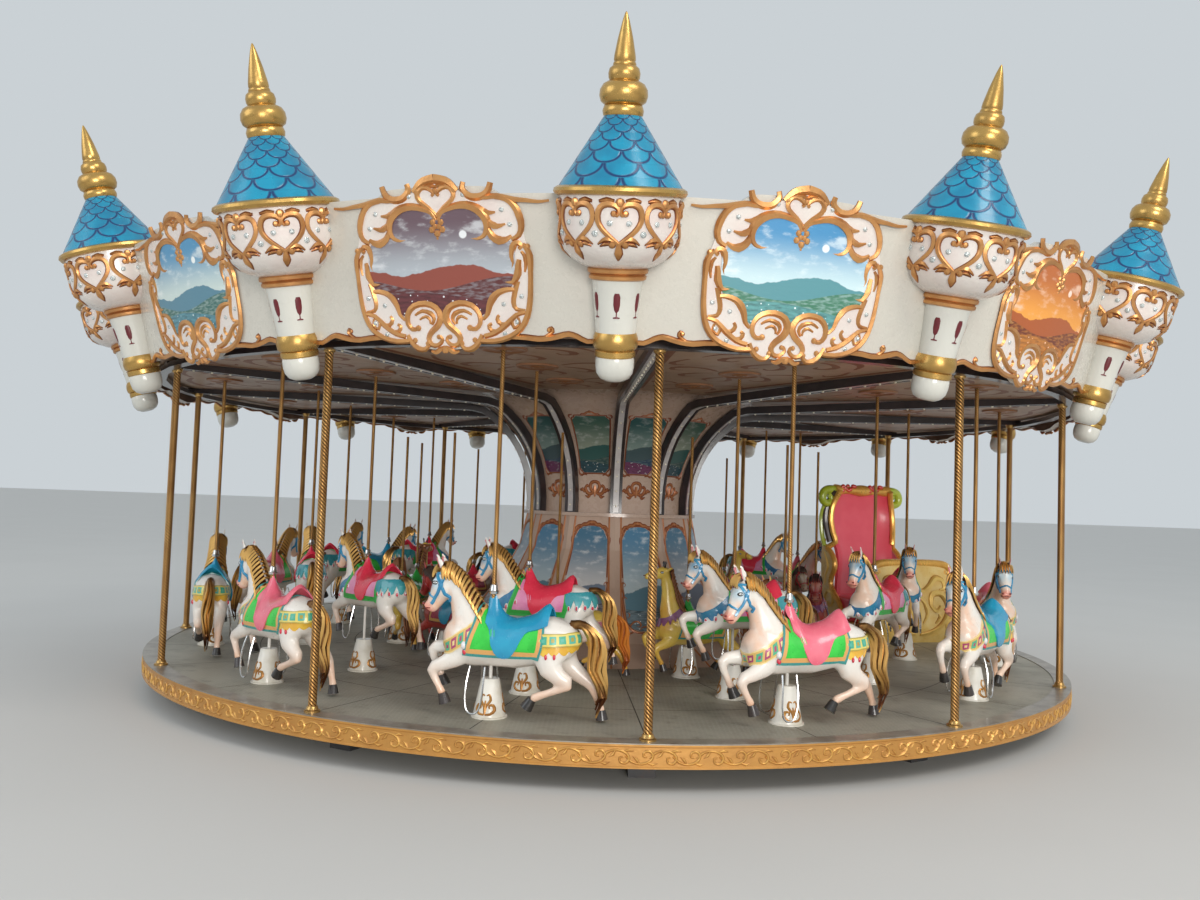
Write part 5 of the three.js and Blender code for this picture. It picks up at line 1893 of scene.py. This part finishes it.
COVE_TOP = [(0, 0.985), (0.145, 0.985), (0.15, 0.965), (0.172, 0.96), (0.178, 0.935)]
COVE_EDGE = [(0, 0.385), (0.14, 0.385), (0.15, 0.4), (0.168, 0.405), (0.178, 0.43)]
SKIRT_TOP = [(0, 1.515), (0.08, 1.51), (0.13, 1.49), (0.17, 1.45), (0.192, 1.39)]
SKIRT_EDGE = [(0, 0.47), (0.11, 0.47), (0.16, 0.5), (0.192, 0.56)]


def cove_scrolls():
    """Notched frame with a crest and foot scrolls, and the palmette frieze below it."""
    gold = bmesh.new()
    frame_line = [(0.0, 0.992), (0.135, 0.993), (0.15, 0.985), (0.157, 0.968), (0.176, 0.962), (0.184, 0.94),
                  (0.186, 0.85), (0.186, 0.6), (0.185, 0.44), (0.178, 0.41), (0.156, 0.395), (0.14, 0.378),
                  (0.07, 0.376), (0.0, 0.377)]
    carved(gold, frame_line, (0.007, 0.008, 0.007), 0.7)
    carved(gold, [(0.0, 1.035), (0.025, 1.03), (0.045, 1.01), (0.075, 1.012), (0.085, 0.998)],
           (0.012, 0.012, 0.004), 0.7)
    carved(gold, [(0.165, 1.0), (0.19, 0.995), (0.2, 0.972), (0.193, 0.955)], (0.006, 0.01, 0.004), 0.7)
    carved(gold, [(0.1, 0.36), (0.14, 0.37), (0.17, 0.358), (0.195, 0.372), (0.203, 0.4), (0.2, 0.43)],
           (0.006, 0.013, 0.004), 0.7)
    carved(gold, [(0.01, 0.2), (0.04, 0.212), (0.062, 0.25), (0.045, 0.287), (0.0, 0.3)],
           (0.018, 0.022, 0.016), 0.6)
    carved(gold, [(0.02, 0.195), (0.065, 0.18), (0.105, 0.195), (0.125, 0.235), (0.1, 0.262), (0.078, 0.248)],
           (0.016, 0.022, 0.01), 0.6)
    carved(gold, [(0.11, 0.215), (0.14, 0.205), (0.165, 0.225), (0.185, 0.215), (0.2, 0.228)],
           (0.014, 0.018, 0.006), 0.6)
    carved(gold, [(0.06, 0.18), (0.075, 0.158), (0.1, 0.152), (0.13, 0.165)], (0.014, 0.016, 0.005), 0.6)
    mirrored(gold)
    carved(gold, [(0.0, 0.155), (0.0, 0.19), (0.0, 0.235), (0.0, 0.262)], (0.01, 0.026, 0.016), 0.6)
    bead(gold, 0, 1.038, 0.016, 0.7)
    return gold


def skirt_scrolls():
    """Frame of an arched picture, with a crest, side scrolls and leaves at its foot."""
    gold = bmesh.new()
    carved(gold, [(0.0, 1.525), (0.08, 1.52), (0.135, 1.5), (0.178, 1.455), (0.201, 1.39), (0.202, 1.2),
                  (0.202, 1.02)], (0.008, 0.008, 0.006), 0.7)
    carved(gold, [(0.0, 1.55), (0.035, 1.548), (0.06, 1.528), (0.095, 1.53), (0.125, 1.512), (0.12, 1.49)],
           (0.018, 0.02, 0.01), 0.6)
    carved(gold, [(0.125, 1.515), (0.165, 1.51), (0.19, 1.475), (0.18, 1.445), (0.2, 1.42)],
           (0.014, 0.018, 0.008), 0.6)
    carved(gold, [(0.2, 1.44), (0.218, 1.4), (0.212, 1.35), (0.205, 1.3)], (0.008, 0.014, 0.005), 0.6)
    carved(gold, [(0.19, 0.93), (0.178, 0.945), (0.186, 0.968), (0.206, 0.965), (0.214, 0.935), (0.206, 0.89),
                  (0.2, 0.85), (0.206, 0.81)], (0.007, 0.012, 0.008), 0.8)
    carved(gold, [(0.176, 0.8), (0.19, 0.822), (0.21, 0.81), (0.214, 0.77), (0.21, 0.7), (0.205, 0.62),
                  (0.19, 0.54), (0.16, 0.485), (0.11, 0.455), (0.05, 0.45), (0.0, 0.455)],
           (0.009, 0.013, 0.012), 0.8, 2)
    carved(gold, [(0.17, 0.52), (0.14, 0.56), (0.105, 0.565), (0.085, 0.535), (0.1, 0.51), (0.12, 0.52)],
           (0.012, 0.015, 0.007), 0.8)
    carved(gold, [(0.1, 0.48), (0.07, 0.51), (0.035, 0.512), (0.02, 0.49)], (0.008, 0.013, 0.006), 0.8)
    carved(gold, [(0.15, 0.46), (0.18, 0.445), (0.2, 0.46), (0.21, 0.5)], (0.007, 0.012, 0.004), 0.8)
    carved(gold, [(0.185, 0.6), (0.165, 0.625), (0.172, 0.655), (0.19, 0.65)], (0.007, 0.011, 0.005), 0.8)
    mirrored(gold)
    bead(gold, 0, 0.47, 0.022, 0.7)
    bead(gold, 0, 1.55, 0.018, 0.7)
    return gold


def column():
    """Pictures, frames and corner strips on the carried column."""
    work = Piece("column_work")
    work.add(wrapped(cove_scrolls(), on_cove), COLUMN_SCROLL, BAY_TURNS)
    work.add(wrapped(skirt_scrolls(), on_skirt), COLUMN_SCROLL, BAY_TURNS)
    for offset in (-0.055, 0.055):
        line = [(offset, abs(offset) * math.tan(HALF_ANGLE) - radius, height) for radius,
                height in SKIRT_LINE]
        work.add(bar(line, [0.009] * len(line), sides=6, side=ACROSS), COLUMN_SCROLL, RIB_TURNS)
    show(work.mesh(), "column_carving", "turntable")
    for name, wrap, edge, top, paints in (("cove_picture", on_cove, COVE_EDGE, COVE_TOP, COVE_PICTURES),
                                          ("skirt_picture", on_skirt, SKIRT_EDGE, SKIRT_TOP, SKIRT_PICTURES)):
        half = top[-1][0]
        for i, place in enumerate(BAY_TURNS):
            canvas = Piece(name)
            canvas.add(slab(half, edge, top, 8, 16, 0.004, 0.001), paints[i % len(paints)])
            show(bent(canvas.mesh(), wrap), f"{name}_{i + 1:02d}", "turntable", place)


def on_ceiling(point):
    """Flat (x across, z out from the axis) to the underside of the ceiling."""
    return Vector((point.x, -point.z, CEILING + point.y))


def ceiling_scrolls():
    """Painted scrolls of one bay, given as (x, distance from the axis)."""
    brown = bmesh.new()
    lines = [([(0.04, 4.0), (0.3, 4.05), (0.58, 4.0), (0.77, 3.9), (0.82, 3.78), (0.75, 3.7), (0.68, 3.74)],
              0.022),
             ([(0.55, 4.0), (0.52, 3.9), (0.44, 3.85), (0.38, 3.9)], 0.018),
             ([(0.21, 3.7), (0.32, 3.66), (0.42, 3.55), (0.4, 3.44), (0.32, 3.43), (0.3, 3.5)], 0.02),
             ([(0.2, 3.76), (0.34, 3.8), (0.46, 3.76), (0.54, 3.66), (0.58, 3.52)], 0.02),
             ([(0.02, 3.46), (0.1, 3.38), (0.14, 3.26), (0.08, 3.18), (0.02, 3.24)], 0.018),
             ([(0.2, 2.94), (0.32, 3.02), (0.46, 3.04), (0.55, 2.96), (0.52, 2.86), (0.44, 2.87)], 0.02),
             ([(0.19, 2.84), (0.3, 2.76), (0.36, 2.64), (0.3, 2.56), (0.23, 2.6)], 0.018),
             ([(0.02, 2.65), (0.08, 2.56), (0.1, 2.46), (0.04, 2.4)], 0.016),
             ([(0.17, 2.1), (0.26, 2.18), (0.36, 2.18), (0.38, 2.1), (0.33, 2.06)], 0.016),
             ([(0.15, 2.0), (0.24, 1.92), (0.26, 1.82), (0.19, 1.78)], 0.015),
             ([(0.02, 1.8), (0.08, 1.72), (0.12, 1.64), (0.06, 1.58)], 0.014),
             ([(0.62, 3.4), (0.66, 3.2), (0.6, 3.1), (0.55, 3.16)], 0.016)]
    for points, size in lines:
        carved(brown, points, (size * 0.8, size * 1.7, size * 0.4), 0.08)
    carved(brown, [(0.31, 1.6), (0.62, 2.75), (0.94, 3.98)], (0.03, 0.03, 0.03), 0.08, 1)
    return mirrored(brown)


def ceiling():
    """Scrolls, and a disc round each mount's pole."""
    work = Piece("ceiling_work")
    work.add(wrapped(ceiling_scrolls(), on_ceiling), CEILING_SCROLL, BAY_TURNS)
    disc = [(0.026, CEILING), (0.026, 2.648), (0.05, 2.646), (0.06, 2.654), (0.13, 2.654), (0.14, 2.648),
            (0.155, 2.65), (0.16, 2.664)]
    work.add(hoop(disc, 20), DISC_BROWN, [place for _, _, _, place in stands()])
    show(work.mesh(), "ceiling_work", "turntable")


RIB_HALF, RIB_DEPTH = 0.055, 0.06
FLANGE = 0.013                         # half width of the raised edges of a rib
LAMP_SPACING = 0.14


def strip(middle, half, low, high, front, back, rows, wrap):
    """A flat strip from low to high, bent onto its ground."""
    part = slab(half, [(0, low)], [(0, high)], 2, rows, front, back)
    return wrapped(moved(part, middle, 0, 0), wrap)


def ribs():
    """Dark ribs with raised edges, a pale strip and lamps between them, and the two rings they meet."""
    work = Piece("ribs")
    length = run_length(RIB_LINE)
    work.add(strip(0, RIB_HALF, 0, length, 0.0, -RIB_DEPTH, 32, on_rib), RIB_BLACK, RIB_TURNS)
    for side in (-1, 1):
        middle = side * (RIB_HALF - FLANGE)
        work.add(strip(middle, FLANGE, 0, length - 0.01, 0.007, -0.001, 32, on_rib), RIB_BLACK, RIB_TURNS)
    work.add(strip(0, 0.026, 0.01, length - 0.03, 0.003, -0.001, 32, on_rib), STRIP_PALE, RIB_TURNS)
    lamps = bmesh.new()
    count = round(length / LAMP_SPACING)
    for i in range(count):
        merge(lamps, ball((0, -0.008, (i + 0.5) * length / count), (0.01, 0.01, 0.01), 6, 4))
    work.add(wrapped(lamps, on_rib), LAMP_GLASS, RIB_TURNS)
    work.add(hoop([(4.19, 2.64), (4.27, 2.64), (4.27, 2.6), (4.19, 2.6)], 48), RIB_BLACK)
    work.add(hoop([(0.74, 1.54), (0.871, 1.54), (0.871, 1.572), (0.74, 1.572)], 12), COLUMN_CREAM_IN_SHADE,
             RIB_TURNS[:1])
    show(work.mesh(), "sweep_frame_dressed", "turntable", replaces=["sweep_frame"])


def cove():
    """The column's upper panels, on the same smooth curve as the ribs."""
    panels = Piece("cove")
    length = run_length(COVE_LINE)
    panels.add(strip(0, REFERENCE, 0, length, 0.0, -0.02, 24, on_cove), COLUMN_CREAM_IN_SHADE, BAY_TURNS)
    show(panels.mesh(), "column_cove_dressed", "turntable", replaces=["column_cove"])


CHEQUER = 0.03                         # from one stud to the next
DECK_SEAMS = (2.46, 3.3)               # radii of the seams that run round


def deck_plate():
    """Worn chequer plate with seams along the bays and rings."""
    finish = Finish("chequer_plate", metallic=0.35)
    place = finish.object()
    x, y, _ = finish.split(place)
    a, b = x / CHEQUER, y / CHEQUER
    parity = (finish.math("FLOOR", a) + finish.math("FLOOR", b)) % 2.0
    fa, fb = finish.math("FRACT", a) - 0.5, finish.math("FRACT", b) - 0.5
    lean = parity * 2 - 1
    long, short = fa + fb * lean, fa - fb * lean
    stud = (1 - abs(long) * 1.2 - abs(short) * 4.5).ease(0.0, 0.4)
    wear = finish.noise(place, 1.3, 6.0, 0.6)
    dirt = finish.noise(place, 9.0, 5.0)
    radius = finish.number("VectorMath", {"operation": "LENGTH"}, {0: finish.join(x, y, 0.0)}, output="Value")
    angle = (finish.math("ARCTAN2", x, 0 - y) - FIRST_RIB) / (BAY_ANGLE / 2)
    split = abs((angle % 1.0) - 0.5)
    seam = (0.5 - split) * radius * (BAY_ANGLE / 2) < 0.004
    for ring in DECK_SEAMS:
        seam = seam.most(abs(radius - ring) < 0.004)
    color = finish.blend(wear.ease(0.35, 0.7), (0.42, 0.40, 0.33), (0.30, 0.285, 0.235))
    color = finish.blend(dirt.ease(0.5, 0.8) * 0.5, color, (0.17, 0.15, 0.12))
    color = finish.blend(stud * 0.35, color, (0.52, 0.50, 0.43))
    finish.set("Base Color", finish.blend(seam, color, (0.05, 0.045, 0.04)))
    finish.set("Roughness", wear * 0.3 + (0.42 - stud * 0.1))
    finish.bump(stud - seam * 2, 0.0015)
    return finish.material


def carried_paint(name, color, shade, stain, roughness=0.4, metallic=0.0, scale=2.0, patch=0.0006):
    """Paint for a CAD piece that is carried over, with clouds and stains."""
    finish = Finish(name, metallic=metallic, coat_weight=0.2, coat_roughness=0.3)
    place = finish.object()
    clouds = finish.noise(place, scale, 4.0)
    marks = finish.noise(place, scale * 7, 5.0)
    color = finish.blend(clouds.ease(0.35, 0.7), color, shade)
    finish.set("Base Color", finish.blend(marks.ease(0.6, 0.85) * 0.6, color, stain))
    finish.set("Roughness", marks * 0.25 + (roughness - 0.12))
    finish.bump(marks, patch)
    return finish.material


# The dark colour of each gold paint is glaze in patches, and painted shade where its carving has hollows
COLUMN_SCROLL = gold_paint("column_scroll", (0.50, 0.20, 0.08), (0.24, 0.06, 0.03), 0.25, 0.4)
CEILING_SCROLL = gold_paint("ceiling_scroll", (0.25, 0.09, 0.035), (0.20, 0.07, 0.03), 0.0, 0.5)
DISC_BROWN = gold_paint("disc_brown", (0.34, 0.15, 0.06), (0.16, 0.06, 0.03), 0.2, 0.4)
STRIP_PALE = plain_paint("strip_pale", (0.60, 0.57, 0.55), (0.46, 0.42, 0.42), 0.4)
LAMP_GLASS = plain_paint("lamp_glass", (0.85, 0.80, 0.66), (0.75, 0.68, 0.52), 0.15)
COVE_PICTURES = [picture_paint("cove_teal", (0.03, 0.10, 0.10), (0.22, 0.30, 0.27), (0.05, 0.09, 0.10),
                               (0.02, 0.05, 0.10), (0.16, 0.03, 0.10), 0.38, 0.6, None),
                 picture_paint("cove_green", (0.05, 0.12, 0.09), (0.28, 0.32, 0.25), (0.03, 0.10, 0.09),
                               (0.02, 0.06, 0.06), (0.02, 0.07, 0.09), 0.38, 0.6, None)]
SKIRT_PICTURES = [picture_paint("skirt_noon", (0.06, 0.20, 0.34), (0.56, 0.66, 0.68), (0.12, 0.24, 0.30),
                                (0.06, 0.10, 0.12), (0.20, 0.28, 0.32), 0.45, 1.05, None),
                  picture_paint("skirt_evening", (0.05, 0.16, 0.26), (0.62, 0.60, 0.58), (0.16, 0.20, 0.26),
                                (0.10, 0.09, 0.10), (0.12, 0.18, 0.22), 0.45, 1.05, None)]
carried("deck", deck_plate())
carried("base_frame", carried_paint("frame_steel", (0.035, 0.035, 0.038), (0.055, 0.05, 0.048),
                                    (0.1, 0.05, 0.03), 0.5))
RIB_BLACK = plain_paint("rib_black", (0.018, 0.013, 0.014), (0.035, 0.022, 0.022), 0.35)
# painted shade: the column's cream is darkened for the shade it stands in under the ceiling
COLUMN_CREAM_IN_SHADE = paint("column_cream_in_shade", (0.52, 0.375, 0.29), (0.44, 0.31, 0.235))
# painted shade: the ceiling's brown-beige is darkened, as it gets only bounced light
carried("ceiling", carried_paint("ceiling_paint_in_shade", (0.40, 0.26, 0.165), (0.31, 0.19, 0.115),
                                 (0.17, 0.085, 0.045), 0.5))
carried("roof", carried_paint("roof_paint", (0.55, 0.54, 0.52), (0.45, 0.44, 0.42), (0.3, 0.28, 0.25), 0.45,
                              0.3))
# painted shade: the skirt's cream is darkened like the column's
carried("column_skirt", carried_paint("skirt_paint_in_shade", (0.52, 0.375, 0.29), (0.45, 0.315, 0.24),
                                      (0.32, 0.19, 0.13)))

CHARIOT_YELLOW = plain_paint("chariot_yellow", (0.80, 0.52, 0.13), (0.86, 0.64, 0.24), 0.3)
# painted shade: the chariot scrolls darken in their hollows
CHARIOT_SCROLL = gold_paint("chariot_scroll", (0.88, 0.60, 0.16), (0.50, 0.22, 0.04), 0.3, 0.35)
CHARIOT_GOLD = gold_paint("chariot_gold", (0.86, 0.48, 0.10), (0.45, 0.16, 0.03), 0.4, 0.3)
CHARIOT_GREEN = plain_paint("chariot_green", (0.52, 0.62, 0.06), (0.40, 0.50, 0.03), 0.25)
CHARIOT_ROSE = plain_paint("chariot_rose", (0.95, 0.12, 0.17), (0.92, 0.10, 0.15), 0.35, 0.0, 0.3)
CHARIOT_DARK = plain_paint("chariot_dark", (0.05, 0.03, 0.025), (0.09, 0.05, 0.04), 0.35)
CHARIOT_RED = plain_paint("chariot_red", (0.80, 0.07, 0.03), (0.62, 0.03, 0.02), 0.25)
# painted shade: the rim scroll darkens in its hollows
RIM_GOLD = gold_paint("rim_gold", (0.80, 0.47, 0.12), (0.42, 0.19, 0.05), 0.45, 0.36)
RIM_GROUND = gold_paint("rim_ground", (0.56, 0.28, 0.07), (0.34, 0.15, 0.04), 0.4, 0.42)
EDGE_STRIP = plain_paint("edge_strip", (0.40, 0.36, 0.30), (0.28, 0.24, 0.2), 0.4, 0.6, 0.1)
POLE_COLLAR = gold_paint("pole_collar", (0.55, 0.34, 0.12), (0.2, 0.1, 0.03), 0.9, 0.3)
EDGE_BRASS = twisted_brass("edge_brass", 6, 0.024, 0.006)
# painted shade: the pedestal scroll darkens in its hollows
PEDESTAL_GOLD = gold_paint("pedestal_gold", (0.66, 0.36, 0.08), (0.34, 0.14, 0.03), 0.4, 0.35)
PEDESTAL_WHITE = plain_paint("pedestal_white", (0.78, 0.75, 0.68), (0.6, 0.55, 0.45), 0.35)


towers()
boards()
mounts()
chariot()
rim()
edge_poles()
pedestals()
column()
ceiling()
ribs()
cove()


# Floor, light and camera

def stage():
    floor = bmesh.new()
    bmesh.ops.create_grid(floor, x_segments=1, y_segments=1, size=180)
    mesh = mesh_of(floor)
    finish = Finish("pale_floor", roughness=0.8)
    place = finish.object()
    finish.set("Base Color", finish.blend(finish.noise(place, 0.5), (0.62, 0.61, 0.59), (0.66, 0.65, 0.63)))
    mesh.materials.append(finish.material)
    slab = bpy.data.objects.new("floor", mesh)
    slab.location.z = -0.001
    bpy.context.scene.collection.objects.link(slab)


def lamp(name, place, target, size, power, color):
    panel = bpy.data.lights.new(name, "AREA")
    panel.shape = "DISK"
    panel.size = size
    panel.energy = power
    panel.color = color
    lamp_object = bpy.data.objects.new(name, panel)
    lamp_object.location = place
    lamp_object.rotation_euler = (Vector(target) - Vector(place)).to_track_quat("-Z", "Y").to_euler()
    bpy.context.scene.collection.objects.link(lamp_object)


def light():
    world = bpy.data.worlds.new("pale_sky")
    bpy.context.scene.world = world
    world.use_nodes = True
    sky = world.node_tree.nodes["Background"]
    sky.inputs["Color"].default_value = (0.80, 0.86, 0.90, 1)
    sky.inputs["Strength"].default_value = 0.74
    bpy.context.scene.view_settings.view_transform = "Standard"
    lamp("key", (9, -14, 14), (0, 0, 2.5), 8, 1150, (1.0, 0.96, 0.9))
    lamp("front", (6, -32, 3), (1.5, 0, 1.4), 12, 4800, (1.0, 0.97, 0.93))
    lamp("fill", (-14, -10, 9), (0, 0, 2), 10, 450, (0.9, 0.95, 1.0))


def camera():
    """The photograph's place and lens, found from the ribs, poles and towers."""
    lens = bpy.data.cameras.new("camera")
    lens.sensor_width = 36.0
    lens.lens = 29.41
    lens.clip_end = 200
    view = bpy.data.objects.new("camera", lens)
    yaw = Matrix.Rotation(math.radians(0.69), 4, "Z")
    pitch = Matrix.Rotation(math.radians(90 + 2.88), 4, "X")
    roll = Matrix.Rotation(math.radians(1.96), 4, "Z")
    view.matrix_world = shift(0, -10.0, 1.70) @ yaw @ pitch @ roll
    bpy.context.scene.collection.objects.link(view)
    bpy.context.scene.camera = view


stage()
light()
camera()

bpy.context.view_layer.update()
